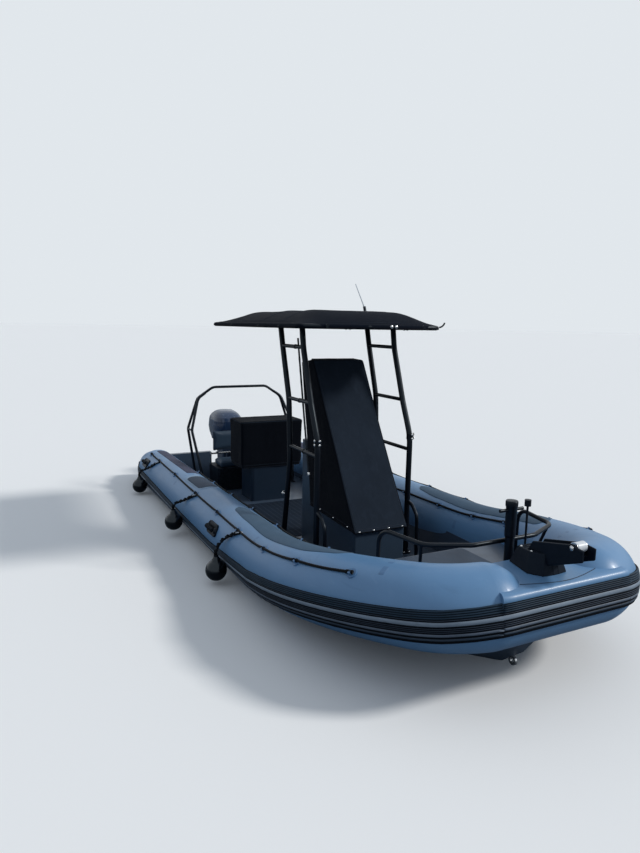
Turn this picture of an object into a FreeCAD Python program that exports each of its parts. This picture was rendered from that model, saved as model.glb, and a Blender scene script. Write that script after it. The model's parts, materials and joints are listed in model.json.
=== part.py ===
import FreeCAD, Part
import math
import os

V = FreeCAD.Vector

# Inflatable rib boat, millimetres.
# Origin: centreline at the waterline, halfway along the tubes. +X bow, +Y port, +Z up.

# Buoyancy tubes
TUBE_R = 252.0                 # radius of the main chamber
TUBE_Y = 1010.0                # centreline offset of the straight run
STERN_X = -3320.0              # aft tip of the tube cones
CONE_LENGTH = 330.0
CONE_TIP_R = 178.0
CONE_CAP = 50.0                # chamfered cap behind the cone
CONE_CAP_R = 125.0
TUBE_AFT_Z = 190.0             # centre height at SHEER_X
SHEER_X = -3200.0
AFT_SLOPE = 1.3                # sheer of the straight run, degrees
BOW_SLOPE = 9.3                # sheer of the bow, degrees
KNEE_X = 1050.0                # where the sheer starts to steepen
PLAN_X = 1540.0                # where the tubes start to turn in
SIDE_BEND_R = 2700.0           # long bend of the shoulder
SIDE_BEND = 27.0
BOW_BEND_R = 470.0             # tighter bend towards the nose
BOW_BEND = 47.0
NOSE_TOP = 735.0               # level nose deck
NOSE_LENGTH = 180.0            # how far the nose deck runs aft of the tube corner
NOSE_FACE = 245.0              # upright front face, ahead of the tube corner
NOSE_EDGE = 38.0               # rounding between deck and front face

# Rub band round the tubes; its rise is a list of x, top z
BAND_THICK = 12.0
BAND_HEIGHT = 196.0
BAND_RISE = [(-3400.0, 238.0), (-1640.0, 224.0), (-600.0, 215.0), (300.0, 226.0), (1300.0, 315.0),
             (2140.0, 470.0), (2700.0, 572.0), (3060.0, 642.0), (3170.0, 675.0), (3280.0, 716.0)]
STRIPE_THICK = 3.0
STRIPES = [(66.0, 15.0), (118.0, 12.0), (160.0, 8.0)]    # drop of the centre below the band's top, height

# Hull stations: x, keel z, chine y, chine z, side y, top z
HULL = [
    (-2760.0, -430.0, 800.0, -110.0, 900.0, 420.0),
    (-1000.0, -430.0, 800.0, -110.0, 900.0, 420.0),
    (600.0, -415.0, 800.0, -75.0, 910.0, 420.0),
    (1500.0, -370.0, 770.0, 0.0, 930.0, 420.0),
    (2060.0, -285.0, 690.0, 90.0, 900.0, 420.0),
    (2450.0, -160.0, 570.0, 170.0, 800.0, 420.0),
    (2700.0, -15.0, 440.0, 245.0, 690.0, 480.0),
    (2900.0, 150.0, 290.0, 320.0, 520.0, 520.0),
    (3100.0, 430.0, 60.0, 455.0, 200.0, 560.0),
]
CHINE_FLAT = 70.0              # width of the spray chine
CHINE_DROP = 8.0
SOLE_Z = 60.0                  # cockpit sole
PAD_THICK = 4.0
DECK_Z = 420.0                 # foredeck and transom top
# Cockpit hollow: x, half width at the sole, half width at the top
COCKPIT = [(-2690.0, 775.0, 790.0), (600.0, 775.0, 790.0), (1500.0, 735.0, 760.0), (1800.0, 660.0, 740.0)]
COCKPIT_TOP = 900.0
SIDE_TOP = 300.0               # top of the hull's side beside the cockpit, below the tubes' inner face
WELL_HALF = 330.0              # engine cut-out in the transom
WELL_Z = 240.0
TRANSOM_X = -2760.0
TRANSOM_THICK = 70.0
LOCKER = (1900.0, 2350.0, 290.0, 170.0)    # x aft, x fore, half width, bottom z
LID_THICK = 28.0
LID_GAP = 5.5
LID_LIP = 20.0
LID_HINGE_R = 10.0
LID_PIN_R = 5.0
EYE_R = 32.0                   # towing and lifting eyes
EYE_HOLE_R = 14.0
EYE_THICK = 16.0
EYE_OFFSET = 22.0
PIN_PLAY = 0.05

# Console and its cover
CONSOLE_HALF = 255.0
CONSOLE_PROFILE = [(100.0, SOLE_Z), (1165.0, SOLE_Z), (1165.0, 470.0), (960.0, 760.0), (560.0, 1060.0),
                   (100.0, 1060.0)]
COVER_HALF = 272.0
COVER_PROFILE = [(1195.0, 420.0), (1195.0, 460.0), (345.0, 1832.0), (320.0, 1850.0), (70.0, 1815.0),
                 (275.0, 770.0)]

# Seats
POST_BASE = (-1700.0, -1310.0, 250.0, 500.0)          # x aft, x fore, half width, top z
POST_COVER = (-1760.0, -1275.0, 440.0, 470.0, 1060.0)  # x aft, x fore, half width, bottom z, top z
BENCH_BASE = (-2330.0, -1930.0, 470.0, 350.0)
CUSHION_THICK = 85.0
BACKREST = (-2310.0, -2250.0, 450.0, 480.0, 790.0)

# T-top
LEG_R = 25.5
RUNG_R = 17.0
LEG_Y = 470.0
ROOF_Z = 2150.0
ROOF_TUBE_R = 19.0
LEG_TOP = ROOF_Z - ROOF_TUBE_R + 7
FORE_LEG = [(875.0, SOLE_Z), (880.0, 1170.0), (740.0, 1480.0), (565.0, 1960.0), (535.0, LEG_TOP)]    # x, z
AFT_LEG = [(150.0, SOLE_Z), (300.0, 900.0), (262.0, 1480.0), (105.0, 1960.0), (55.0, LEG_TOP)]
RUNGS = [(1045.0, 292.0, 882.0), (1490.0, 258.0, 736.0), (1965.0, 103.0, 563.0)]    # z, aft x, fore x
COLLAR_Z = 1170.0
ROOF_HALF = 700.0
ROOF_AFT = -1390.0
ROOF_FORE = 990.0
ROOF_BOW = 1080.0              # centre of the front rim
CANOPY_RISE = 130.0
CROSS_TUBES = [-700.0, 55.0, 535.0]
ANTENNA = (300.0, 300.0, 2290.0)       # foot of the whip aerial
WHIP_TIP = (100.0, 300.0, 2560.0)

# Bow fittings
RAIL_R = 15.0
RAIL_Z = 810.0
POST_X = 2715.0
POST_R = 30.0
POST_TOP = 1085.0
LIGHT_X = 2850.0
STEP_AFT = 2820.0              # aft ends of the bow step's arms
STEP_FRONT = 3100.0
STEP_TIP = 3310.0
STEP_RISE = 100.0
CHEEK_WIDE = 16.0
ROLLER_X = 3255.0
ROLLER_Z = 955.0
ROLLER_R = 29.0
ROLLER_HALF = 38.0
AXLE_R = 8.0

# Stern arch, offsets in y and z
ARCH_R = 17.0
ARCH_X = -2460.0
ARCH = [(600.0, SOLE_Z), (710.0, 800.0), (580.0, 1190.0), (370.0, 1330.0)]
ARCH_SPREAD = [420.0, 190.0, 34.0]     # how far the fore tube stands ahead at each of the first three points

# Fittings on the tubes: places along x and angles above the outward horizontal
PATCHES = [(-2850.0, -1270.0, 84.0, 117.0), (-1080.0, -510.0, 66.0, 120.0), (380.0, 1040.0, 84.0, 118.0)]
PATCH_THICK = 3.0
HANDLES = [(-2630.0, 34.0), (380.0, 21.0)]
ROPE_R = 6.0
ROPE = [(-2740.0, 64.0), (-2250.0, 62.0), (-1400.0, 59.0), (-480.0, 54.0), (270.0, 52.0), (860.0, 50.0),
        (1470.0, 49.0), (1960.0, 48.0), (2440.0, 48.0)]
INNER_ROPE = [(x, 132.0) for x in (-1500.0, -900.0, -300.0, 300.0, 880.0, 1400.0, 1850.0)]
FENDERS = [(-2400.0, 110.0, -2180.0), (-620.0, 155.0, -400.0), (750.0, 125.0, 940.0)]    # x, centre z, tie x
FENDER_R = 90.0
LANYARD_R = 4.0

# Outboard
SWIVEL_X = -2900.0             # steering axis
TILT_X = -2800.0               # tilt axis
TILT_Z = 420.0
TILT_R = 14.0
CLAMP_LOW = -120.0             # foot of the clamp bracket
CLAMP_HALF = 150.0
CHEEK_THICK = 24.0
COLUMN_R = 48.0
COLUMN_LOW = -60.0
SHAFT_R = 22.0
PAN_LOW = 505.0                # engine pan under the cowl
PAN_TOP = 545.0
PLATE_Z = -400.0               # anti-ventilation plate
PROP_Z = -615.0
PROP_X = -3362.0
PROP_R = 185.0
PROP_HUB_R = 55.0
PROP_SHAFT_R = 14.0
CASE_R = 62.0                  # gear case
CASE_AFT = -3300.0
CASE_FORE = -3060.0
SKEG_DROP = 190.0

# Soft goods stand this far from what carries them
SOFT_GAP = 0.3


def box(x0, x1, y0, y1, z0, z1):
    return Part.makeBox(x1 - x0, y1 - y0, z1 - z0, V(x0, y0, z0))


def mirrored(shape):
    return shape.mirror(V(0, 0, 0), V(0, 1, 0))


def fused(shapes):
    whole = shapes[0]
    if len(shapes) > 1:
        whole = whole.multiFuse(shapes[1:])
    return whole.removeSplitter()


def above(z, shape):
    """Trim away what reaches below a flat floor."""
    return shape.cut(box(-4000, 4000, -2000, 2000, z - 1000, z))


def both_sides(shape):
    return Part.Compound([shape, mirrored(shape)])


def cylinder(start, end, radius):
    axis = end - start
    return Part.makeCylinder(radius, axis.Length, start, axis)


def polygon_face(points):
    return Part.Face(Part.makePolygon(points + [points[0]]))


def side_profile(points, half):
    """Solid with the given x, z outline, extruded across the centreline."""
    face = polygon_face([V(x, -half, z) for x, z in points])
    return face.extrude(V(0, 2 * half, 0))


def rounded(shape, radius, wanted):
    """Fillet the edges that wanted(edge) picks."""
    edges = [edge for edge in shape.Edges if wanted(edge)]
    return shape.makeFillet(radius, edges)


def is_vertical(edge):
    first, last = edge.Vertexes[0].Point, edge.Vertexes[-1].Point
    return abs(first.x - last.x) < 0.01 and abs(first.y - last.y) < 0.01


def runs_across(edge):
    first, last = edge.Vertexes[0].Point, edge.Vertexes[-1].Point
    return abs(first.x - last.x) < 0.01 and abs(first.z - last.z) < 0.01


def bend_wire(points, bend_r):
    """Straight runs joined by tangent arcs, one bend at each inner point."""
    edges = []
    here = points[0]
    for before, corner, after in zip(points, points[1:], points[2:]):
        arrive = (corner - before).normalize()
        leave = (after - corner).normalize()
        turn = arrive.getAngle(leave)
        if turn < 0.002:
            continue
        longest = 0.46 * min((corner - before).Length, (after - corner).Length)
        setback = min(bend_r * math.tan(turn / 2), longest)
        entry = corner - arrive * setback
        leaving = corner + leave * setback
        inward = (leave - arrive).normalize()
        radius = setback / math.tan(turn / 2)
        middle = corner + inward * (radius / math.cos(turn / 2) - radius)
        if (entry - here).Length > 0.01:
            edges.append(Part.LineSegment(here, entry).toShape())
        edges.append(Part.Arc(entry, middle, leaving).toShape())
        here = leaving
    if (points[-1] - here).Length > 0.01:
        edges.append(Part.LineSegment(here, points[-1]).toShape())
    return Part.Wire(edges)


def bent_tube(points, bend_r, radius):
    """Round tube along a bent route."""
    path = bend_wire(points, bend_r)
    start_direction = points[1] - points[0]
    section = Part.Wire([Part.makeCircle(radius, points[0], start_direction)])
    return path.makePipeShell([section], True, False)


# Path of the starboard tube: straight run, knee in the sheer, then two bends in the tilted plane of the bow
AFT_RISE = math.radians(AFT_SLOPE)
BOW_RISE = math.radians(BOW_SLOPE)
AFT_DIR = V(math.cos(AFT_RISE), 0, math.sin(AFT_RISE))
AFT_UP = V(-math.sin(AFT_RISE), 0, math.cos(AFT_RISE))
BOW_DIR = V(math.cos(BOW_RISE), 0, math.sin(BOW_RISE))
BOW_UP = V(-math.sin(BOW_RISE), 0, math.cos(BOW_RISE))
INBOARD = V(0, 1, 0)


def aft_centre(x):
    return V(x, -TUBE_Y, TUBE_AFT_Z + (x - SHEER_X) * math.tan(AFT_RISE))


def bow_heading(degrees):
    """Direction of travel after turning inboard by so many degrees."""
    turn = math.radians(degrees)
    return BOW_DIR * math.cos(turn) + INBOARD * math.sin(turn)


def bow_outward(degrees):
    turn = math.radians(degrees)
    return BOW_DIR * math.sin(turn) - INBOARD * math.cos(turn)


KNEE_R = (PLAN_X - KNEE_X) / (math.sin(BOW_RISE) - math.sin(AFT_RISE))
KNEE_START = aft_centre(KNEE_X)
KNEE_CENTRE = KNEE_START + AFT_UP * KNEE_R
KNEE_END = KNEE_CENTRE - BOW_UP * KNEE_R
SIDE_CENTRE = KNEE_END + INBOARD * SIDE_BEND_R
SIDE_END = SIDE_CENTRE + bow_outward(SIDE_BEND) * SIDE_BEND_R
BOW_CENTRE = SIDE_END - bow_outward(SIDE_BEND) * BOW_BEND_R
NOSE_TURN = SIDE_BEND + BOW_BEND
NOSE_CORNER = BOW_CENTRE + bow_outward(NOSE_TURN) * BOW_BEND_R
NOSE_CENTRE = V(NOSE_CORNER.x, 0, NOSE_CORNER.z)


def station(x):
    """Centre, outward and up directions of the starboard tube where its centreline passes x."""
    if x <= KNEE_X:
        return aft_centre(x), INBOARD * -1, AFT_UP
    if x <= KNEE_END.x:
        slope = math.asin((x - KNEE_X) / KNEE_R + math.sin(AFT_RISE))
        up = V(-math.sin(slope), 0, math.cos(slope))
        return KNEE_CENTRE - up * KNEE_R, INBOARD * -1, up
    if x <= SIDE_END.x:
        turn = math.asin((x - KNEE_END.x) / (SIDE_BEND_R * BOW_DIR.x))
        outward = bow_outward(math.degrees(turn))
        return SIDE_CENTRE + outward * SIDE_BEND_R, outward, BOW_UP
    turn = math.asin(min(1.0, (x - BOW_CENTRE.x) / (BOW_BEND_R * BOW_DIR.x)))
    outward = bow_outward(math.degrees(turn))
    return BOW_CENTRE + outward * BOW_BEND_R, outward, BOW_UP


def on_tube(x, angle, lift):
    """Point at a height above the tube's skin, angle in degrees above the outward horizontal."""
    centre, outward, up = station(x)
    turn = math.radians(angle)
    return centre + (outward * math.cos(turn) + up * math.sin(turn)) * (TUBE_R + lift)


def ring_sector(centre, outward, up, inner_r, outer_r, bottom, top):
    """Face between two radii and two angles above the outward direction."""
    def at(radius, angle):
        turn = math.radians(angle)
        return centre + outward * (radius * math.cos(turn)) + up * (radius * math.sin(turn))
    middle = (top + bottom) / 2
    outer = Part.Arc(at(outer_r, bottom), at(outer_r, middle), at(outer_r, top)).toShape()
    upper = Part.LineSegment(at(outer_r, top), at(inner_r, top)).toShape()
    inner = Part.Arc(at(inner_r, top), at(inner_r, middle), at(inner_r, bottom)).toShape()
    lower = Part.LineSegment(at(inner_r, bottom), at(outer_r, bottom)).toShape()
    return Part.Face(Part.Wire([outer, upper, inner, lower]))


def follow_tube(section_at, first_x):
    """Carry a section along the starboard tube; section_at(centre, outward, up) gives its face."""
    first = aft_centre(first_x)
    outward = INBOARD * -1
    parts = [section_at(first, outward, AFT_UP).extrude(KNEE_START - first)]
    knee = section_at(KNEE_START, outward, AFT_UP)
    parts.append(knee.revolve(KNEE_CENTRE, INBOARD * -1, BOW_SLOPE - AFT_SLOPE))
    side = section_at(KNEE_END, outward, BOW_UP)
    parts.append(side.revolve(SIDE_CENTRE, BOW_UP, SIDE_BEND))
    bow = section_at(SIDE_END, bow_outward(SIDE_BEND), BOW_UP)
    parts.append(bow.revolve(BOW_CENTRE, BOW_UP, BOW_BEND))
    return parts


def round_section(centre, outward, up):
    return Part.Face(Part.Wire([Part.makeCircle(TUBE_R, centre, outward.cross(up))]))


CONE_X = STERN_X + CONE_CAP + CONE_LENGTH


def side_tube():
    """Starboard tube with its stern cone and its domed forward end."""
    parts = follow_tube(round_section, CONE_X)
    shoulder = aft_centre(CONE_X)
    parts.append(Part.makeCone(TUBE_R, CONE_TIP_R, CONE_LENGTH, shoulder, AFT_DIR * -1))
    tip = shoulder - AFT_DIR * CONE_LENGTH
    parts.append(Part.makeCone(CONE_TIP_R, CONE_CAP_R, CONE_CAP, tip, AFT_DIR * -1))
    reach = 2 * TUBE_R
    ahead = Part.makeBox(2 * reach, 2 * reach, reach)
    face_forward = FreeCAD.Placement(NOSE_CORNER, FreeCAD.Rotation(V(0, 0, 1), bow_heading(NOSE_TURN)))
    ahead.Placement = face_forward.multiply(FreeCAD.Placement(V(-reach, -reach, 0), FreeCAD.Rotation()))
    parts.append(Part.makeSphere(TUBE_R, NOSE_CORNER).common(ahead))
    return fused(parts)


def nose_roll(extra):
    """Transverse chamber of the nose: level top, upright front, round belly; extra thickens it."""
    radius = TUBE_R + extra
    face = NOSE_FACE + extra
    corner = NOSE_CORNER
    top = NOSE_TOP - corner.z
    tangent = math.sqrt(radius ** 2 - face ** 2)
    slack = NOSE_EDGE * (1 - math.sqrt(0.5))

    def at(x, z):
        return corner + V(x, 0, z)
    edges = [
        Part.LineSegment(at(0, top), at(face - NOSE_EDGE, top)).toShape(),
        Part.Arc(at(face - NOSE_EDGE, top), at(face - slack, top - slack),
                 at(face, top - NOSE_EDGE)).toShape(),
        Part.LineSegment(at(face, top - NOSE_EDGE), at(face, tangent)).toShape(),
        Part.Arc(at(face, tangent), at(radius * 0.8, -radius * 0.6), at(0, -radius)).toShape(),
        Part.LineSegment(at(0, -radius), at(0, top)).toShape(),
    ]
    section = Part.Face(Part.Wire(edges))
    middle = section.extrude(V(0, -2 * corner.y, 0))
    turned = section.revolve(corner, V(0, 0, 1), -(90 - NOSE_TURN))
    return fused([middle, turned, mirrored(turned)])


def nose_block(tubes):
    """Flat-topped nose between the two domes."""
    width = -NOSE_CORNER.y
    slab = box(NOSE_CORNER.x - NOSE_LENGTH, NOSE_CORNER.x + 1, -width - TUBE_R, width + TUBE_R,
               NOSE_CORNER.z - TUBE_R * 0.55, NOSE_TOP)
    return nose_roll(0).fuse(slab).cut(tubes).removeSplitter()


def cockpit_hollow():
    wires = []
    for x, low, high in COCKPIT:
        ring = [V(x, -low, SOLE_Z), V(x, low, SOLE_Z), V(x, high, COCKPIT_TOP), V(x, -high, COCKPIT_TOP)]
        wires.append(Part.makePolygon(ring + [ring[0]]))
    return Part.makeLoft(wires, True, True)


def hull_shell(around):
    """Deep-vee hull with cockpit, bow locker and engine well, trimmed to the tubes and nose."""
    wires = []
    for x, keel_z, chine_y, chine_z, side_y, top_z in HULL:
        half = [(0, keel_z), (chine_y - CHINE_FLAT * chine_y / HULL[0][2], chine_z - CHINE_DROP),
                (chine_y, chine_z), (side_y, top_z)]
        port = [V(x, y, z) for y, z in half]
        starboard = [V(x, -y, z) for y, z in half[:0:-1]]
        wires.append(Part.makePolygon(port + starboard + [port[0]]))
    hull = Part.makeLoft(wires, True, True)
    x_aft, x_fore, half, bottom = LOCKER
    locker = box(x_aft, x_fore, -half, half, bottom, DECK_Z + 50)
    well = box(TRANSOM_X - 1, TRANSOM_X + TRANSOM_THICK + 1, -WELL_HALF, WELL_HALF, WELL_Z, DECK_Z + 50)
    beside = box(COCKPIT[0][0], COCKPIT[-1][0], -TUBE_Y, TUBE_Y, SIDE_TOP, DECK_Z + 50)
    return hull.cut([cockpit_hollow(), beside, locker, well] + around).removeSplitter()


def band_slice(drop_top, drop_bottom):
    """Slab between two drops below the band's top line, right across the boat."""
    upper = [V(x, -2000, z - drop_top) for x, z in BAND_RISE]
    lower = [V(x, -2000, z - drop_bottom) for x, z in BAND_RISE[::-1]]
    return polygon_face(upper + lower).extrude(V(0, 4000, 0))


def skin_layer(inner_r, outer_r):
    """Layer round the outer side of both tubes, their stern cones and the nose."""
    def section(centre, outward, up):
        return ring_sector(centre, outward, up, inner_r, outer_r, -62, 40)
    near = follow_tube(section, CONE_X)
    lift_in, lift_out = inner_r - TUBE_R, outer_r - TUBE_R
    shoulder = aft_centre(CONE_X)
    tip = shoulder - AFT_DIR * CONE_LENGTH
    outward = INBOARD * -1
    wide = ring_sector(shoulder, outward, AFT_UP, inner_r, outer_r, -62, 40)
    narrow = ring_sector(tip, outward, AFT_UP, CONE_TIP_R + lift_in, CONE_TIP_R + lift_out, -62, 40)
    near.append(Part.makeLoft([wide.OuterWire, narrow.OuterWire], True, True))
    front = nose_roll(lift_out).cut(nose_roll(lift_in))
    return near + [mirrored(part) for part in near] + [front]


def band_layer(inner_r, outer_r, drop_top, drop_bottom):
    cutter = band_slice(drop_top, drop_bottom)
    pieces = [layer.common(cutter) for layer in skin_layer(inner_r, outer_r)]
    return fused(pieces)


def rub_band(chambers):
    return band_layer(TUBE_R, TUBE_R + BAND_THICK, 0, BAND_HEIGHT).cut(chambers)


def band_stripes(band):
    inner = TUBE_R + BAND_THICK
    outer = inner + STRIPE_THICK
    rows = [band_layer(inner, outer, drop - height / 2, drop + height / 2) for drop, height in STRIPES]
    return Part.Compound([row.cut(band) for row in rows])


def deck_pads():
    top = SOLE_Z + PAD_THICK
    aft_pad = box(-1200, 60, -380, 380, SOLE_Z, top)
    bow_pad = box(1220, 1740, -520, 520, SOLE_Z, top)
    return Part.Compound([aft_pad, bow_pad])


def console_base():
    body = side_profile(CONSOLE_PROFILE, CONSOLE_HALF)
    return rounded(body, 22, is_vertical)


def console_cover(base):
    """Fitted canvas over console and windscreen, open where the console fills it."""
    body = side_profile(COVER_PROFILE, COVER_HALF)
    inner = side_profile(CONSOLE_PROFILE, CONSOLE_HALF + SOFT_GAP)
    return body.cut(inner)


def leaning_post_base():
    x_aft, x_fore, half, top = POST_BASE
    return rounded(box(x_aft, x_fore, -half, half, SOLE_Z, top), 35, is_vertical)


def leaning_post_cover():
    x_aft, x_fore, half, bottom, top = POST_COVER
    body = box(x_aft, x_fore, -half, half, bottom, top)
    base_aft, base_fore, base_half, base_top = POST_BASE
    socket = box(base_aft - SOFT_GAP, base_fore + SOFT_GAP, -base_half - SOFT_GAP, base_half + SOFT_GAP,
                 bottom - 1, base_top + SOFT_GAP)
    return body.cut(socket)


def bench_base():
    x_aft, x_fore, half, top = BENCH_BASE
    return rounded(box(x_aft, x_fore, -half, half, SOLE_Z, top), 25, is_vertical)


def bench_cushion():
    x_aft, x_fore, half, top = BENCH_BASE
    back_fore = BACKREST[1]
    low = top + SOFT_GAP
    body = box(back_fore + 12, x_fore - 5, -half + 12, half - 12, low, low + CUSHION_THICK)
    return rounded(body, 18, is_vertical)


HINGE_X = (BACKREST[0] + BACKREST[1]) / 2
HINGE_Z = 480.0
HINGE_R = 12.0
HINGE_PIN_R = 8.0
EAR_GAP = 6.0
EAR_THICK = 12.0


def bench_hinges():
    """Two ears that carry the backrest's cross tube."""
    seat_top = BENCH_BASE[3]
    inner = BACKREST[2] + EAR_GAP
    ear = box(HINGE_X - 20, HINGE_X + 20, inner, inner + EAR_THICK, seat_top, HINGE_Z + 20)
    bore = cylinder(V(HINGE_X, inner - 1, HINGE_Z), V(HINGE_X, inner + EAR_THICK + 1, HINGE_Z),
                    HINGE_PIN_R + PIN_PLAY)
    return both_sides(ear.cut(bore))


def backrest_bar():
    """Cross tube with its end pins and the two brackets under the pad."""
    half = BACKREST[2]
    pin_half = half + EAR_GAP + EAR_THICK + 2
    bar = cylinder(V(HINGE_X, -half, HINGE_Z), V(HINGE_X, half, HINGE_Z), HINGE_R)
    pin = cylinder(V(HINGE_X, -pin_half, HINGE_Z), V(HINGE_X, pin_half, HINGE_Z), HINGE_PIN_R)
    brackets = [box(HINGE_X - 15, HINGE_X + 15, y, y + 30, HINGE_Z, BACKREST[3] + 20)
                for y in (-half + 60, half - 90)]
    return fused([bar, pin] + brackets)


def bench_backrest():
    x_aft, x_fore, half, bottom, top = BACKREST
    pad = box(x_aft, x_fore, -half, half, bottom + 20, top)
    return rounded(pad, 18, runs_across)


def ttop_side(roof):
    """Ladder-like starboard side of the T-top: two bent legs and their rungs, coped to the roof frame."""
    fore = bent_tube([V(x, -LEG_Y, z) for x, z in FORE_LEG], 420, LEG_R)
    aft = bent_tube([V(x, -LEG_Y, z) for x, z in AFT_LEG], 600, LEG_R)
    rungs = [cylinder(V(aft_x, -LEG_Y, z), V(fore_x, -LEG_Y, z), RUNG_R) for z, aft_x, fore_x in RUNGS]
    collar = cylinder(V(880, -LEG_Y, COLLAR_Z - 28), V(880, -LEG_Y, COLLAR_Z + 22), LEG_R + 7)
    feet = [cylinder(V(x, -LEG_Y, SOLE_Z), V(x, -LEG_Y, SOLE_Z + 10), 52)
            for x in (FORE_LEG[0][0], AFT_LEG[0][0])]
    brace_points = [V(875, -LEG_Y, 560), V(960, -LEG_Y, 540), V(1040, -LEG_Y, 460), V(1050, -LEG_Y, SOLE_Z)]
    brace = bent_tube(brace_points, 90, 16)
    brace_foot = cylinder(V(1050, -LEG_Y, SOLE_Z), V(1050, -LEG_Y, SOLE_Z + 8), 38)
    side = fused([fore, aft, collar, brace, brace_foot] + feet + rungs)
    return above(SOLE_Z, side).cut(roof)


def roof_outline(inset, z):
    """Closed wire of the roof rim: straight sides and aft edge, bowed front."""
    half = ROOF_HALF - inset
    aft = ROOF_AFT + inset
    fore = ROOF_FORE - inset
    corner = 90.0
    diag = corner * (1 - math.sqrt(0.5))
    edges = [
        Part.LineSegment(V(aft, -half + corner, z), V(aft, half - corner, z)).toShape(),
        Part.Arc(V(aft, half - corner, z), V(aft + diag, half - diag, z), V(aft + corner, half, z)).toShape(),
        Part.LineSegment(V(aft + corner, half, z), V(fore - corner, half, z)).toShape(),
        Part.Arc(V(fore - corner, half, z),
                 V(fore - diag, half - diag, z), V(fore, half - corner, z)).toShape(),
        Part.Arc(V(fore, half - corner, z), V(ROOF_BOW - inset, 0, z), V(fore, -half + corner, z)).toShape(),
        Part.Arc(V(fore, -half + corner, z),
                 V(fore - diag, -half + diag, z), V(fore - corner, -half, z)).toShape(),
        Part.LineSegment(V(fore - corner, -half, z), V(aft + corner, -half, z)).toShape(),
        Part.Arc(V(aft + corner, -half, z),
                 V(aft + diag, -half + diag, z), V(aft, -half + corner, z)).toShape(),
    ]
    return Part.Wire(edges)


def roof_frame():
    """Perimeter tube, two side rails on the legs and cross tubes."""
    inset = ROOF_TUBE_R
    half = ROOF_HALF - inset
    aft = ROOF_AFT + inset
    front = [V(ROOF_FORE - inset, -half, ROOF_Z), V(ROOF_BOW - 35 - inset, -half * 0.5, ROOF_Z),
             V(ROOF_BOW - inset, -half * 0.16, ROOF_Z), V(ROOF_BOW - inset, 0, ROOF_Z)]
    rim = bent_tube([V(aft, 0, ROOF_Z), V(aft, -half, ROOF_Z)] + front, 90, ROOF_TUBE_R)
    tubes = [rim, mirrored(rim)]
    for y in (-LEG_Y, LEG_Y):
        tubes.append(cylinder(V(aft, y, ROOF_Z), V(ROOF_FORE + 40, y, ROOF_Z), ROOF_TUBE_R))
    for x in CROSS_TUBES:
        tubes.append(cylinder(V(x, -half, ROOF_Z), V(x, half, ROOF_Z), ROOF_TUBE_R))
    return fused(tubes)


def roof_canopy():
    """Thin crowned canvas skin over the frame."""
    low = ROOF_Z + ROOF_TUBE_R + SOFT_GAP
    lower = roof_outline(0, low)
    crown = Part.makePolygon([V(-500, -390, low + CANOPY_RISE), V(700, -390, low + CANOPY_RISE),
                              V(700, 390, low + CANOPY_RISE), V(-500, 390, low + CANOPY_RISE),
                              V(-500, -390, low + CANOPY_RISE)])
    base = Part.Face(lower).extrude(V(0, 0, 5))
    hat_low = Part.makePolygon([V(-1330, -640, low + 5), V(900, -640, low + 5), V(900, 640, low + 5),
                                V(-1330, 640, low + 5), V(-1330, -640, low + 5)])
    hat = Part.makeLoft([hat_low, crown], True, True)
    return fused([base, hat])


def antenna(canopy):
    """Folding whip on a ratchet foot that stands on the roof."""
    x, y, z = ANTENNA
    foot = cylinder(V(x, y, z - 80), V(x, y, z), 24)
    mast = cylinder(V(x, y, z - 4), V(x - 20, y, z + 50), 14)
    whip = cylinder(V(x - 18, y, z + 45), V(*WHIP_TIP), 4)
    return fused([foot, mast, whip]).cut(canopy)


def bow_rail():
    front = POST_X - POST_R - RAIL_R - SOFT_GAP
    starboard = [(2130.0, 620.0, DECK_Z), (2140.0, 620.0, RAIL_Z), (2540.0, 540.0, RAIL_Z),
                 (front, 260.0, RAIL_Z)]
    path = [V(x, -y, z) for x, y, z in starboard] + [V(x, y, z) for x, y, z in starboard[::-1]]
    rail = bent_tube(path, 110, RAIL_R)
    legs = []
    for side in (-1, 1):
        foot = V(2400, 470 * side, DECK_Z)
        legs.append(cylinder(foot, V(2520, 543 * side, RAIL_Z), 11))
        legs.append(cylinder(foot, foot + V(0, 0, 8), 34))
        legs.append(cylinder(V(2130, 620 * side, DECK_Z), V(2130, 620 * side, DECK_Z + 8), 38))
    return above(DECK_Z, fused([rail] + legs))


def sampson_post(hull):
    shaft = cylinder(V(POST_X, 0, DECK_Z - 40), V(POST_X, 0, POST_TOP - 18), POST_R)
    cap = cylinder(V(POST_X, 0, POST_TOP - 18), V(POST_X, 0, POST_TOP), POST_R + 7)
    horn = cylinder(V(POST_X, -95, POST_TOP - 60), V(POST_X, 95, POST_TOP - 60), 11)
    return fused([shaft, cap, horn]).cut(hull)


def bow_light():
    """All-round light on a short pole that stands on the nose."""
    pole = cylinder(V(LIGHT_X, 0, NOSE_TOP), V(LIGHT_X, 0, POST_TOP), 7)
    lamp = cylinder(V(LIGHT_X, 0, POST_TOP), V(LIGHT_X, 0, POST_TOP + 40), 20)
    foot = cylinder(V(LIGHT_X, 0, NOSE_TOP), V(LIGHT_X, 0, NOSE_TOP + 20), 22)
    return fused([pole, lamp, foot])


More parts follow.
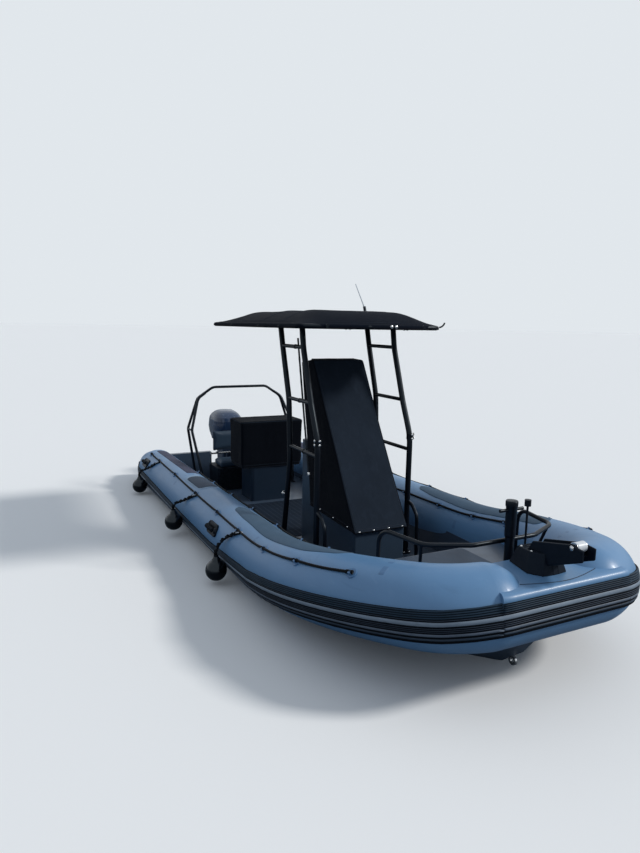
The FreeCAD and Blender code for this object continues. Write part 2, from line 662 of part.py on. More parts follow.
def bow_step():
    """Moulded step: a low foot with two arms that open aft, and two cheeks for the roller ahead."""
    arms = []
    for side in (-1, 1):
        outline = [V(STEP_FRONT, 20 * side, NOSE_TOP), V(STEP_FRONT, 140 * side, NOSE_TOP),
                   V(STEP_AFT, 255 * side, NOSE_TOP), V(STEP_AFT, 165 * side, NOSE_TOP),
                   V(STEP_FRONT - 110, 20 * side, NOSE_TOP)]
        arms.append(polygon_face(outline).extrude(V(0, 0, STEP_RISE)))
    foot = box(STEP_FRONT - 110, STEP_FRONT, -21, 21, NOSE_TOP, NOSE_TOP + STEP_RISE)
    low = NOSE_TOP + STEP_RISE
    cheek = polygon_face([V(STEP_FRONT - 150, 0, low - 30), V(STEP_FRONT, 0, low - 30), V(STEP_TIP, 0, 920),
                          V(STEP_TIP, 0, 995), V(STEP_TIP - 70, 0, 1000), V(STEP_FRONT - 150, 0, low + 25)])
    cheek = cheek.extrude(V(0, CHEEK_WIDE, 0))
    inner = ROLLER_HALF + 3
    cheeks = [cheek.translated(V(0, y, 0)) for y in (inner, -inner - CHEEK_WIDE)]
    edge = -inner - 1
    floor = polygon_face([V(STEP_FRONT - 40, edge, low - 30), V(STEP_FRONT, edge, low - 30),
                          V(STEP_TIP - 20, edge, 906), V(STEP_TIP - 60, edge, 906)])
    floor = floor.extrude(V(0, -2 * edge, 0))
    axle = cylinder(V(ROLLER_X, -ROLLER_HALF - 10, ROLLER_Z), V(ROLLER_X, ROLLER_HALF + 10, ROLLER_Z), AXLE_R)
    return fused(arms + [foot, floor] + cheeks).cut(axle)


def bow_roller():
    roller = cylinder(V(ROLLER_X, -ROLLER_HALF, ROLLER_Z), V(ROLLER_X, ROLLER_HALF, ROLLER_Z), ROLLER_R)
    axle = cylinder(V(ROLLER_X, -ROLLER_HALF - 10, ROLLER_Z), V(ROLLER_X, ROLLER_HALF + 10, ROLLER_Z), AXLE_R)
    return fused([roller, axle])


def lid_hinge_point():
    return LOCKER[1] + 45.0, DECK_Z + LID_GAP + LID_THICK / 2


def bow_lid():
    """Locker lid with two knuckles at its forward edge."""
    x_aft, x_fore, half, bottom = LOCKER
    low = DECK_Z + LID_GAP
    wide = half + LID_LIP
    plate = box(x_aft - LID_LIP, x_fore + LID_LIP, -wide, wide, low, low + LID_THICK)
    lid = rounded(plate, 24, is_vertical)
    hinge_x, hinge_z = lid_hinge_point()
    knuckles = []
    for y in (-170.0, 110.0):
        barrel = cylinder(V(hinge_x, y, hinge_z), V(hinge_x, y + 60, hinge_z), LID_HINGE_R)
        strap = box(x_fore, hinge_x, y, y + 60, hinge_z - 4, hinge_z + 4)
        knuckles += [barrel, strap]
    bore = cylinder(V(hinge_x, -300, hinge_z), V(hinge_x, 300, hinge_z), LID_PIN_R + PIN_PLAY)
    return fused([lid] + knuckles).cut(bore)


def lid_hinges():
    """Fixed ears and pins of the locker lid."""
    hinge_x, hinge_z = lid_hinge_point()
    pins = []
    for y in (-170.0, 110.0):
        pin = cylinder(V(hinge_x, y - 20, hinge_z), V(hinge_x, y + 80, hinge_z), LID_PIN_R)
        ears = [box(hinge_x - 9, hinge_x + 9, side, side + 12, DECK_Z, hinge_z + 9)
                for side in (y - 20, y + 68)]
        pins.append(fused([pin] + ears))
    return Part.Compound(pins)


def stern_arch():
    """Hoop of the tow arch: one top bar, two tubes down each side."""
    start_x = ARCH_X
    aft_points = [V(start_x, -y, z) for y, z in ARCH] + [V(start_x, y, z) for y, z in ARCH[::-1]]
    hoop = bent_tube(aft_points, 140, ARCH_R)
    fore = []
    for side in (-1, 1):
        points = [V(start_x + spread, side * y, z) for spread, (y, z) in zip(ARCH_SPREAD, ARCH)]
        points.append(V(start_x + ARCH_R, side * 480, 1256))
        fore.append(bent_tube(points, 140, ARCH_R))
    foot_y = ARCH[0][0]
    feet = [cylinder(V(start_x + spread, y, SOLE_Z), V(start_x + spread, y, SOLE_Z + 8), 42)
            for y in (-foot_y, foot_y) for spread in (0.0, ARCH_SPREAD[0])]
    return above(SOLE_Z, fused([hoop] + fore + feet))


def wear_patches():
    """Thin wear pads on top of the tubes, both sides: x from, x to, angle from, angle to."""
    pads = []
    for x0, x1, low, high in PATCHES:
        first, last = aft_centre(x0), aft_centre(x1)
        face = ring_sector(first, INBOARD * -1, AFT_UP, TUBE_R, TUBE_R + PATCH_THICK, low, high)
        pad = face.extrude(last - first)
        pads += [pad, mirrored(pad)]
    return Part.Compound(pads)


ROPE_LIFT = ROPE_R + SOFT_GAP + 8.5     # height of the rope's centre at an anchor


def lifeline(anchors):
    """Rope laid along the tube through its anchors, with a point between each pair."""
    points = []
    for (first, start_angle), (last, end_angle) in zip(anchors, anchors[1:]):
        points.append(on_tube(first, start_angle, ROPE_LIFT))
        points.append(on_tube((first + last) / 2, (start_angle + end_angle) / 2, ROPE_R + SOFT_GAP))
    last, end_angle = anchors[-1]
    points.append(on_tube(last, end_angle, ROPE_LIFT))
    return bent_tube(points, 900, ROPE_R)


def seat(x, angle, lift):
    """Frame on the tube's skin: X along the tube, Z out of the skin."""
    centre, outward, up = station(x)
    turn = math.radians(angle)
    normal = outward * math.cos(turn) + up * math.sin(turn)
    along = up.cross(outward)
    place = FreeCAD.Rotation(along, normal.cross(along), normal, "ZXY")
    return FreeCAD.Placement(centre + normal * (TUBE_R + lift), place)


def rope_anchor(x, angle, tube):
    """Round rubber patch with a saddle that the rope passes through."""
    patch = Part.makeCylinder(34, 24, V(0, 0, -19))
    saddle = box(-9, 9, -17, 17, 0, 28)
    bore = cylinder(V(-10, 0, ROPE_LIFT), V(10, 0, ROPE_LIFT), ROPE_R + 2.4)
    anchor = fused([patch, saddle]).cut(bore)
    anchor.Placement = seat(x, angle, 0)
    return anchor.cut(tube)


def rope_anchors(tube):
    anchors = [rope_anchor(x, angle, tube) for x, angle in ROPE + INNER_ROPE]
    return Part.Compound(anchors + [mirrored(anchor) for anchor in anchors])


def fender_place(x, z):
    """Where a fender's ball rests against the rub band."""
    centre = aft_centre(x)
    reach = TUBE_R + BAND_THICK + STRIPE_THICK + FENDER_R + SOFT_GAP
    return V(x, centre.y - math.sqrt(reach ** 2 - (centre.z - z) ** 2), z)


def fender(x, z):
    """Ball fender with its neck and rope eye."""
    place = fender_place(x, z)
    ball = Part.makeSphere(FENDER_R, place)
    neck = Part.makeCone(50, 20, 50, place + V(0, 0, 68), V(0, 0, 1))
    eye_block = cylinder(place + V(0, 0, 115), place + V(0, 0, 135), 20)
    return fused([ball, neck, eye_block])


def rope_angle(x):
    """Angle of the outer life line at x on the straight run."""
    for (x0, angle0), (x1, angle1) in zip(ROPE, ROPE[1:]):
        if x <= x1:
            return angle0 + (angle1 - angle0) * (x - x0) / (x1 - x0)
    return ROPE[-1][1]


def fender_lanyard(x, z, tie_x):
    """Short lanyard that leaves a fender's eye upwards, lies on the tube and ends at the life line."""
    start = fender_place(x, z) + V(0, 0, 135)
    middle_x = (x + tie_x) / 2
    low = on_tube(x, 22, LANYARD_R + 22)
    shoulder = on_tube(middle_x, 38, LANYARD_R + 5)
    angle = rope_angle(tie_x)
    upper = on_tube((middle_x + tie_x) / 2, (38 + angle) / 2, LANYARD_R + 5)
    end = on_tube(tie_x, angle, LANYARD_R + 5)
    end = end + (upper - end).normalize() * (ROPE_R + LANYARD_R + 3)
    return bent_tube([start, start + V(0, 0, 45), low, shoulder, upper, end], 60, LANYARD_R)


def grab_handle(x, angle, tube):
    """Moulded grip on a rounded pad."""
    pad = rounded(box(-125, 125, -55, 55, -30, 8), 40, is_vertical)
    grip = box(-95, 95, -12, 12, 8, 44).cut(box(-66, 66, -13, 13, 8, 28))
    handle = fused([pad, grip])
    handle.Placement = seat(x, angle, 0)
    return handle.cut(tube)


def grab_handles(tube):
    handles = [grab_handle(x, angle, tube) for x, angle in HANDLES]
    return Part.Compound(handles + [mirrored(handle) for handle in handles])


# Outboard
def outboard_bracket():
    """Clamp bracket on the transom with two cheeks for the tilt tube."""
    face = TRANSOM_X - 22
    plate = box(face, TRANSOM_X, -CLAMP_HALF, CLAMP_HALF, CLAMP_LOW, WELL_Z + 20)
    hook = box(face, TRANSOM_X + TRANSOM_THICK + 14, -CLAMP_HALF, CLAMP_HALF, WELL_Z, WELL_Z + 24)
    top = TILT_Z + 35
    outline = [V(face, 0, CLAMP_LOW), V(face, 0, WELL_Z + 24), V(TRANSOM_X, 0, WELL_Z + 24),
               V(TRANSOM_X, 0, top), V(TILT_X - 30, 0, top), V(TILT_X - 40, 0, CLAMP_LOW + 140)]
    cheek = polygon_face(outline).extrude(V(0, CHEEK_THICK, 0))
    cheeks = [cheek.translated(V(0, y, 0)) for y in (-CLAMP_HALF, CLAMP_HALF - CHEEK_THICK)]
    bore = cylinder(V(TILT_X, -2 * CLAMP_HALF, TILT_Z), V(TILT_X, 2 * CLAMP_HALF, TILT_Z), TILT_R + PIN_PLAY)
    return fused([plate, hook] + cheeks).cut(bore)


def outboard_swivel():
    """Tilt tube, swivel housing and its column."""
    tube = cylinder(V(TILT_X, -CLAMP_HALF, TILT_Z), V(TILT_X, CLAMP_HALF, TILT_Z), TILT_R)
    arm_half = CLAMP_HALF - CHEEK_THICK - 8
    arm = box(SWIVEL_X - 10, TILT_X + 25, -arm_half, arm_half, TILT_Z - 30, TILT_Z + 30)
    column = cylinder(V(SWIVEL_X, 0, COLUMN_LOW), V(SWIVEL_X, 0, TILT_Z + 30), COLUMN_R)
    bore = cylinder(V(SWIVEL_X, 0, COLUMN_LOW - 1), V(SWIVEL_X, 0, TILT_Z + 60), SHAFT_R + PIN_PLAY)
    return fused([tube, arm, column]).cut(bore)


def ellipse_section(cx, half_x, half_y, z):
    """Rounded-rectangle wire of a cowl section."""
    corner = 0.55 * min(half_x, half_y)
    diag = corner * (1 - math.sqrt(0.5))
    edges = []
    corners = [(1, 1), (-1, 1), (-1, -1), (1, -1)]
    points = []
    for sx, sy in corners:
        a = V(cx + sx * half_x, sy * (half_y - corner), z)
        b = V(cx + sx * (half_x - diag), sy * (half_y - diag), z)
        c = V(cx + sx * (half_x - corner), sy * half_y, z)
        points.append((a, b, c) if sx * sy > 0 else (c, b, a))
    for index, (a, b, c) in enumerate(points):
        edges.append(Part.Arc(a, b, c).toShape())
        after = points[(index + 1) % 4][0]
        edges.append(Part.LineSegment(c, after).toShape())
    return Part.Wire(edges)


# Cowl sections: centre x, half length, half width, z
COWL = [(-3100.0, 232.0, 170.0, PAN_TOP), (-3095.0, 258.0, 195.0, 600.0), (-3085.0, 276.0, 208.0, 690.0),
        (-3080.0, 270.0, 205.0, 800.0), (-3080.0, 225.0, 172.0, 885.0), (-3085.0, 130.0, 105.0, 930.0)]


def outboard_cowl():
    return Part.makeLoft([ellipse_section(*row) for row in COWL], True, True)


def outboard_leg():
    """Steering shaft, midsection and gear case down to the skeg."""
    pan = Part.makeLoft([ellipse_section(-3100, 224, 162, PAN_TOP), ellipse_section(-3110, 210, 150, PAN_LOW)],
                        True, True)
    mid = Part.makeLoft([ellipse_section(-3125, 140, 85, PAN_LOW), ellipse_section(-3140, 125, 60, PLATE_Z)],
                        True, True)
    shaft = cylinder(V(SWIVEL_X, 0, COLUMN_LOW - 50), V(SWIVEL_X, 0, PAN_LOW), SHAFT_R)
    upper_yoke = box(-3080, SWIVEL_X + 30, -45, 45, TILT_Z + 40, PAN_LOW + 10)
    lower_yoke = box(-3120, SWIVEL_X + 30, -45, 45, COLUMN_LOW - 50, COLUMN_LOW - 15)
    plate = box(-3420, -3010, -110, 110, PLATE_Z, PLATE_Z + 12)
    strut_low = PROP_Z + 50
    strut = Part.makeLoft([ellipse_section(-3150, 120, 30, PLATE_Z), ellipse_section(-3150, 120, 28, strut_low)],
                          True, True)
    case = cylinder(V(CASE_AFT, 0, PROP_Z), V(CASE_FORE, 0, PROP_Z), CASE_R)
    bullet = Part.makeCone(CASE_R, 12, 110, V(CASE_FORE, 0, PROP_Z), V(1, 0, 0))
    prop_shaft = cylinder(V(PROP_X - 53, 0, PROP_Z), V(CASE_AFT, 0, PROP_Z), PROP_SHAFT_R)
    skeg_low = PROP_Z - SKEG_DROP
    skeg = polygon_face([V(CASE_AFT + 30, -7, PROP_Z), V(CASE_FORE - 20, -7, PROP_Z), V(-3170, -7, skeg_low),
                         V(-3260, -7, skeg_low)]).extrude(V(0, 14, 0))
    return fused([pan, mid, shaft, upper_yoke, lower_yoke, plate, strut, case, bullet, prop_shaft, skeg])


def propeller():
    """Three-bladed propeller with its hub."""
    hub = cylinder(V(PROP_X - 63, 0, PROP_Z), V(CASE_AFT - 5, 0, PROP_Z), PROP_HUB_R)
    blades = []
    for index in range(3):
        blade = box(-3, 3, -60, 60, PROP_HUB_R - 10, PROP_R)
        blade.rotate(V(0, 0, 0), V(0, 0, 1), 35)
        blade.rotate(V(0, 0, 0), V(1, 0, 0), 120 * index)
        blade.translate(V(PROP_X, 0, PROP_Z))
        blades.append(blade)
    bore = cylinder(V(PROP_X - 70, 0, PROP_Z), V(CASE_AFT, 0, PROP_Z), PROP_SHAFT_R + PIN_PLAY)
    return fused([hub] + blades).cut(bore)


def eye(place, axis, around):
    """Boss with a hole along the axis, trimmed to what carries it."""
    half = axis * (EYE_THICK / 2)
    boss = cylinder(place - half, place + half, EYE_R)
    hole = cylinder(place - axis * EYE_THICK, place + axis * EYE_THICK, EYE_HOLE_R)
    return boss.cut(hole).cut(around)


def towing_eyes(hull):
    """One eye on the stem and two on the transom."""
    stem_low, stem_high = HULL[6], HULL[7]
    run = V(stem_high[0] - stem_low[0], 0, stem_high[1] - stem_low[1]).normalize()
    stem = V(stem_low[0], 0, stem_low[1]) + run * 130
    ahead = stem + V(run.z, 0, -run.x) * EYE_OFFSET
    eyes = [eye(ahead, V(0, 1, 0), hull)]
    for y in (-620.0, 620.0):
        eyes.append(eye(V(TRANSOM_X - EYE_OFFSET, y, 180), V(0, 0, 1), hull))
    return Part.Compound(eyes)


def build():
    starboard = side_tube()
    port = mirrored(starboard)
    tubes = Part.Compound([starboard, port])
    nose = nose_block(tubes)
    hull = hull_shell([starboard, port, nose])
    band = rub_band([starboard, port, nose])
    base = console_base()
    roof = roof_frame()
    ladder = ttop_side(roof)
    canopy = roof_canopy()
    nodes = {
        "tube_starboard": starboard,
        "tube_port": port,
        "bow_nose": nose,
        "hull": hull,
        "rub_band": band,
        "rub_stripes": band_stripes(band),
        "deck_pads": deck_pads(),
        "wear_patches": wear_patches(),
        "lifelines": both_sides(lifeline(ROPE)),
        "inner_lifelines": both_sides(lifeline(INNER_ROPE)),
        "console_base": base,
        "console_cover": console_cover(base),
        "leaning_post_base": leaning_post_base(),
        "leaning_post_cover": leaning_post_cover(),
        "bench_base": bench_base(),
        "bench_cushion": bench_cushion(),
        "bench_hinge_ears": bench_hinges(),
        "backrest_hinge_bar": backrest_bar(),
        "bench_backrest": bench_backrest(),
        "ttop_side_starboard": ladder,
        "ttop_side_port": mirrored(ladder),
        "roof_frame": roof,
        "roof_canopy": canopy,
        "antenna": antenna(canopy),
        "bow_rail": bow_rail(),
        "sampson_post": sampson_post(hull),
        "bow_light": bow_light(),
        "bow_step": bow_step(),
        "bow_roller": bow_roller(),
        "lid_hinges": lid_hinges(),
        "bow_locker_lid": bow_lid(),
        "stern_arch": stern_arch(),
        "towing_eyes": towing_eyes(hull),
        "rope_anchors": rope_anchors(starboard),
        "grab_handles": grab_handles(starboard),
        "fenders": Part.Compound([fender(x, z) for x, z, tie_x in FENDERS]),
        "fender_lanyards": Part.Compound([fender_lanyard(*row) for row in FENDERS]),
        "outboard_bracket": outboard_bracket(),
        "outboard_swivel": outboard_swivel(),
        "outboard_leg": outboard_leg(),
        "outboard_cowl": outboard_cowl(),
        "propeller": propeller(),
    }
    return nodes


def main():
    os.makedirs("parts", exist_ok=True)
    for name, shape in build().items():
        if not shape.isValid():
            print("not valid:", name)
        print(name, len(shape.Solids), round(shape.Volume / 1e9, 5))
        shape.exportStep("parts/" + name + ".step")


main()
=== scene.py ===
import json
import math

import bmesh
import bpy
from mathutils import Matrix, Vector, noise
from mathutils.bvhtree import BVHTree


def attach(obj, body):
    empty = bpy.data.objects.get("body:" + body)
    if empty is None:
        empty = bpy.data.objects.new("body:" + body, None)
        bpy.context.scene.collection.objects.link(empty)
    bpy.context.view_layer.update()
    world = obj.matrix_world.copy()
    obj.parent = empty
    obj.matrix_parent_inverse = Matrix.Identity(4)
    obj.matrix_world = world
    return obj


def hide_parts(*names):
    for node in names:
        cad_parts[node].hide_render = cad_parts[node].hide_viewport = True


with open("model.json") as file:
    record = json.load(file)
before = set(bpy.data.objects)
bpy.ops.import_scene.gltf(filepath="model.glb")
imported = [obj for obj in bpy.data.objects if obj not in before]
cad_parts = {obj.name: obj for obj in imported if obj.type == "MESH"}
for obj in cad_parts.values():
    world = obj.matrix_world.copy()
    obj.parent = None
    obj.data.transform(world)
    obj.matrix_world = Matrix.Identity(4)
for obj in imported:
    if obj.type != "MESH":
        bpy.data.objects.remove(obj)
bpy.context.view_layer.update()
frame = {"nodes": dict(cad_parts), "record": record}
NODES = frame["nodes"]
AHEAD = Vector((1, 0, 0))
INBOARD = Vector((0, 1, 0))
UP = Vector((0, 0, 1))

# Camera, metres and degrees in the boat's frame
CAMERA_PLACE = Vector((5.69, -2.85, 2.16))
CAMERA_YAW = 26.5          # from straight aft towards port
CAMERA_PITCH = 9.0         # below the horizon
CAMERA_ROLL = 1.0
FOCAL_PIXELS = 641.0
PHOTO_HEIGHT = 853.0
SENSOR = 36.0

# Light and floor
SUN_FROM = Vector((0.42, 0.70, 0.58))
SUN_STRENGTH = 2.3
SUN_WIDTH = 9
SUN_COLOR = (1.0, 0.965, 0.91)
SKY_COLOR = (0.82, 0.90, 1.0, 1.0)
SKY_STRENGTH = 0.52
SHOWN_COLOR = (0.755, 0.80, 0.84, 1.0)
FLOOR_HALF = 400.0
FLOOR_LIT = (0.16, 0.19, 0.22, 1.0)
FLOOR_SEEN = (0.86, 0.88, 0.90, 1.0)


def placed(name, data):
    """New object in the scene."""
    made = bpy.data.objects.new(name, data)
    bpy.context.scene.collection.objects.link(made)
    return made


def add_node(tree, kind, inputs=None, **settings):
    """New shader node; inputs holds a value or another node's output for each socket."""
    node = tree.nodes.new(kind)
    for key, value in settings.items():
        setattr(node, key, value)
    for key, value in (inputs or {}).items():
        if isinstance(value, bpy.types.NodeSocket):
            tree.links.new(value, node.inputs[key])
        else:
            node.inputs[key].default_value = value
    return node


def make_camera():
    yaw, pitch, roll = (math.radians(v) for v in (CAMERA_YAW, CAMERA_PITCH, CAMERA_ROLL))
    level = Vector((-math.cos(yaw), math.sin(yaw), 0.0))
    right = Vector((math.sin(yaw), math.cos(yaw), 0.0))
    ahead = level * math.cos(pitch) - UP * math.sin(pitch)
    up = level * math.sin(pitch) + UP * math.cos(pitch)
    right, up = right * math.cos(roll) + up * math.sin(roll), up * math.cos(roll) - right * math.sin(roll)
    data = bpy.data.cameras.new("camera")
    data.sensor_fit = "AUTO"
    data.sensor_width = SENSOR
    data.lens = FOCAL_PIXELS / PHOTO_HEIGHT * SENSOR
    data.clip_end = 900.0
    camera = placed("camera", data)
    turn = Matrix((right, up, -ahead)).transposed().to_4x4()
    camera.matrix_world = Matrix.Translation(CAMERA_PLACE) @ turn
    bpy.context.scene.camera = camera


def make_world():
    """A soft sky for light, and a pale one for what the eye, glass and gloss see."""
    world = bpy.data.worlds.new("studio")
    bpy.context.scene.world = world
    world.use_nodes = True
    tree = world.node_tree
    tree.nodes.clear()
    path = add_node(tree, "ShaderNodeLightPath").outputs
    seen = path["Is Camera Ray"]
    for ray in ("Is Transmission Ray", "Is Glossy Ray"):
        seen = add_node(tree, "ShaderNodeMath", {0: seen, 1: path[ray]}, operation="MAXIMUM").outputs[0]
    light = add_node(tree, "ShaderNodeBackground", {"Color": SKY_COLOR, "Strength": SKY_STRENGTH})
    shown = add_node(tree, "ShaderNodeBackground", {"Color": SHOWN_COLOR})
    mix = add_node(tree, "ShaderNodeMixShader", {0: seen, 1: light.outputs[0], 2: shown.outputs[0]})
    add_node(tree, "ShaderNodeOutputWorld", {"Surface": mix.outputs[0]})


def make_sun():
    data = bpy.data.lights.new("key", "SUN")
    data.energy = SUN_STRENGTH
    data.angle = math.radians(SUN_WIDTH)
    data.color = SUN_COLOR
    placed("key", data).rotation_euler = (-SUN_FROM).to_track_quat("-Z", "Y").to_euler()


def make_floor():
    mesh = bpy.data.meshes.new("floor")
    corners = [(x * FLOOR_HALF, y * FLOOR_HALF, 0) for x, y in ((-1, -1), (1, -1), (1, 1), (-1, 1))]
    mesh.from_pydata(corners, [], [(0, 1, 2, 3)])
    material = bpy.data.materials.new("floor")
    material.use_nodes = True
    tree = material.node_tree
    seen = add_node(tree, "ShaderNodeLightPath").outputs["Is Camera Ray"]
    tone = add_node(tree, "ShaderNodeMix", {0: seen}, data_type="RGBA")
    tone.inputs[6].default_value = FLOOR_LIT
    tone.inputs[7].default_value = FLOOR_SEEN
    shader = tree.nodes["Principled BSDF"]
    shader.inputs["Roughness"].default_value = 0.7
    shader.inputs["Specular IOR Level"].default_value = 0.1
    tree.links.new(tone.outputs[2], shader.inputs["Base Color"])
    mesh.materials.append(material)
    placed("floor", mesh)


# Materials
LOOKS = {}
BLACK, WHITE = (0, 0, 0, 1), (1, 1, 1, 1)
EVEN, HANGING, ALONG_BAND = (1, 1, 1), (1, 1, 0.4), (0.4, 1, 3)
# The bluish tint is a painted reflection: it stands for blue sky in what dark surfaces reflect.
DARK_LIMIT = 0.035         # darker surfaces reflect with a bluish tint
PAINTED_SKY_TINT = (0.70, 0.86, 1.0, 1.0)


def linear(color):
    """Shader colour of three screen values from 0 to 255."""
    shares = [value / 255.0 for value in color]
    return tuple(c / 12.92 if c <= 0.04045 else ((c + 0.055) / 1.055) ** 2.4 for c in shares) + (1.0,)


def scaled(color, share, extra=0.0):
    """A shader colour made lighter or darker."""
    return tuple(min(1.0, c * share + extra) for c in color[:3]) + (1.0,)


class Surface:
    """One material: colour and roughness that vary, and a stack of bumps, all from object space.

    A colour is three screen values, or a shader colour of four.
    """

    def __init__(self, name, color, rough, metal=0.0, vary=0.10, scale=3.0, spec=0.5, coat=0.0, sheen=0.0):
        self.name = name
        self.base = linear(color)
        self.material = bpy.data.materials.new(name)
        self.material.use_nodes = True
        self.tree = self.material.node_tree
        self.shader = self.tree.nodes["Principled BSDF"]
        self.place = self.add("ShaderNodeTexCoord").outputs["Object"]
        self.height = None
        for socket, value in (("Metallic", metal), ("Specular IOR Level", spec), ("Coat Weight", coat),
                              ("Coat Roughness", 0.12), ("Sheen Weight", sheen), ("Sheen Roughness", 0.5)):
            self.shader.inputs[socket].default_value = value
        # Dark surfaces take the painted sky tint in their reflections.
        if metal == 0 and max(self.base[:3]) < DARK_LIMIT:
            self.shader.inputs["Specular Tint"].default_value = PAINTED_SKY_TINT
        dark, light = scaled(self.base, 1 - vary), scaled(self.base, 1 + vary)
        self.color = self.ramp(self.noise(scale, 6.0), [(0.3, dark), (0.7, light)])
        self.rough = self.add("ShaderNodeMapRange", {"Value": self.noise(scale * 2.7, 5.0),
                                                     "To Min": max(0.04, rough - 0.07),
                                                     "To Max": min(1.0, rough + 0.09)}).outputs[0]

    def add(self, kind, inputs=None, **settings):
        return add_node(self.tree, kind, inputs, **settings)

    def noise(self, scale, detail=4.0, stretch=EVEN, distort=0.0):
        spot = self.add("ShaderNodeMapping", {"Vector": self.place, "Scale": stretch}).outputs[0]
        values = {"Vector": spot, "Scale": scale, "Detail": detail, "Distortion": distort}
        return self.add("ShaderNodeTexNoise", values).outputs["Fac"]

    def math(self, operation, *values):
        return self.add("ShaderNodeMath", dict(enumerate(values)), operation=operation).outputs[0]

    def ramp(self, factor, stops):
        node = self.add("ShaderNodeValToRGB", {"Fac": factor})
        for element, (place, color) in zip(node.color_ramp.elements, stops):
            element.position = place
            element.color = color
        return node.outputs["Color"]

    def mask(self, factor, low, high):
        return self.ramp(factor, [(low, BLACK), (high, WHITE)])

    def tint(self, factor, color):
        """Lay a colour over what is there, where the factor is high."""
        color = linear(color) if len(color) == 3 else color
        values = {0: factor, 6: self.color, 7: color}
        self.color = self.add("ShaderNodeMix", values, data_type="RGBA").outputs[2]
        return self

    def bump(self, height, strength, distance):
        node = self.add("ShaderNodeBump", {"Height": height, "Strength": strength, "Distance": distance})
        if self.height is not None:
            self.tree.links.new(self.height, node.inputs["Normal"])
        self.height = node.outputs["Normal"]
        return self

    def weave(self, period, strength):
        """Crossed threads that show on a face turned any way."""
        values = {"Vector": self.place, "Scale": 0.314 / period, "Distortion": 0.6}
        waves = [self.add("ShaderNodeTexWave", values, wave_type="BANDS", bands_direction=axis).outputs["Fac"]
                 for axis in "XYZ"]
        whole = self.math("ADD", self.math("ADD", waves[0], waves[1]), waves[2])
        return self.bump(whole, strength, period * 0.4)

    def grain(self, size, strength):
        cells = self.add("ShaderNodeTexVoronoi", {"Vector": self.place, "Scale": 1.0 / size},
                         feature="SMOOTH_F1").outputs["Distance"]
        return self.bump(cells, strength, size * 0.3)

    def ripple(self, scale, strength, distance, stretch=EVEN):
        return self.bump(self.noise(scale, 3.0, stretch), strength, distance)

    def worn(self, color, amount):
        """Rubbed edges."""
        rub = self.mask(self.add("ShaderNodeNewGeometry").outputs["Pointiness"], 0.52, 0.60)
        patchy = self.mask(self.noise(40, 4), 0.45, 0.7)
        return self.tint(self.math("MULTIPLY", self.math("MULTIPLY", rub, patchy), amount), color)

    def scuffs_and_painted_highlights(self, color, amount, scale=9.0, stretch=(1, 4, 4)):
        """Scattered marks: scuffs, and on the cowl painted highlight streaks."""
        marks = self.mask(self.noise(scale, 8, stretch, 1.2), 0.60, 0.72)
        return self.tint(self.math("MULTIPLY", marks, amount), color)

    def done(self):
        self.tree.links.new(self.color, self.shader.inputs["Base Color"])
        self.tree.links.new(self.rough, self.shader.inputs["Roughness"])
        if self.height is not None:
            self.tree.links.new(self.height, self.shader.inputs["Normal"])
        LOOKS[self.name] = self.material


def make_fabric_looks():
    look = Surface("tube_fabric", (92, 133, 174), 0.40, vary=0.05, scale=1.6, spec=0.42, coat=0.05)
    look.scuffs_and_painted_highlights((114, 150, 188), 0.20, 5.0, (1, 3, 3)).scuffs_and_painted_highlights((68, 100, 134), 0.18, 2.6, (1, 2, 5))
    look.ripple(7.0, 0.10, 0.02, (0.5, 1.2, 1.2)).weave(0.0016, 0.05).ripple(160, 0.05, 0.002).done()
    look = Surface("seam_tape", (80, 119, 160), 0.42, vary=0.05, scale=4.0, spec=0.45)
    look.ripple(60, 0.10, 0.002).done()
    for name, color in (("wear_patch", (74, 88, 104)), ("pad_violet", (58, 62, 84)),
                        ("pad_step", (48, 62, 80)), ("pad_pale", (134, 158, 182)),
                        ("pad_crescent", (64, 88, 110))):
        look = Surface(name, color, 0.72, vary=0.09, scale=4.0, spec=0.3).grain(0.006, 0.5)
        look.scuffs_and_painted_highlights(scaled(look.base, 1.5), 0.35, 12.0).done()
    # The side cloth is a darker copy of the canvas colour, painted shade; the front cloth is a lighter copy,
    # painted light for faces turned ahead.
    for name, color, stretch in (("canvas", (12, 17, 26), EVEN), ("cover_side_painted_shade", (9, 13, 21), HANGING),
                                 ("cover_front_painted_light", (33, 41, 52), HANGING), ("roof_cloth", (11, 17, 28), EVEN)):
        look = Surface(name, color, 0.88, vary=0.14, scale=2.2, spec=0.05, sheen=0.03)
        dust = look.math("MULTIPLY", look.mask(look.noise(14, 7, stretch, 0.8), 0.5, 0.75), 0.22)
        look.tint(dust, scaled(look.base, 1.9)).ripple(9.0, 0.22, 0.02, stretch).weave(0.0022, 0.30).done()
    Surface("cushion_vinyl", (42, 60, 78), 0.5, vary=0.09, scale=4.0, spec=0.25) \
        .grain(0.0022, 0.35).ripple(18, 0.15, 0.006).scuffs_and_painted_highlights((62, 79, 97), 0.25, 12.0).done()


def make_deck_look():
    """Foam planking: pale grooves that run fore and aft, with a brushed grain."""
    look = Surface("deck_pad", (24, 33, 46), 0.85, vary=0.16, scale=5.0, spec=0.12)
    half_plank = 0.03
    split = look.add("ShaderNodeSeparateXYZ", {0: look.place})
    beat = look.math("PINGPONG", look.math("ADD", split.outputs[1], half_plank), half_plank)
    line = look.math("LESS_THAN", beat, 0.0024)
    look.tint(look.math("MULTIPLY", line, 0.45), (74, 86, 102))
    look.bump(look.math("MULTIPLY", line, -1.0), 0.6, 0.002)
    look.ripple(260, 0.35, 0.001, (0.15, 1, 1)).done()


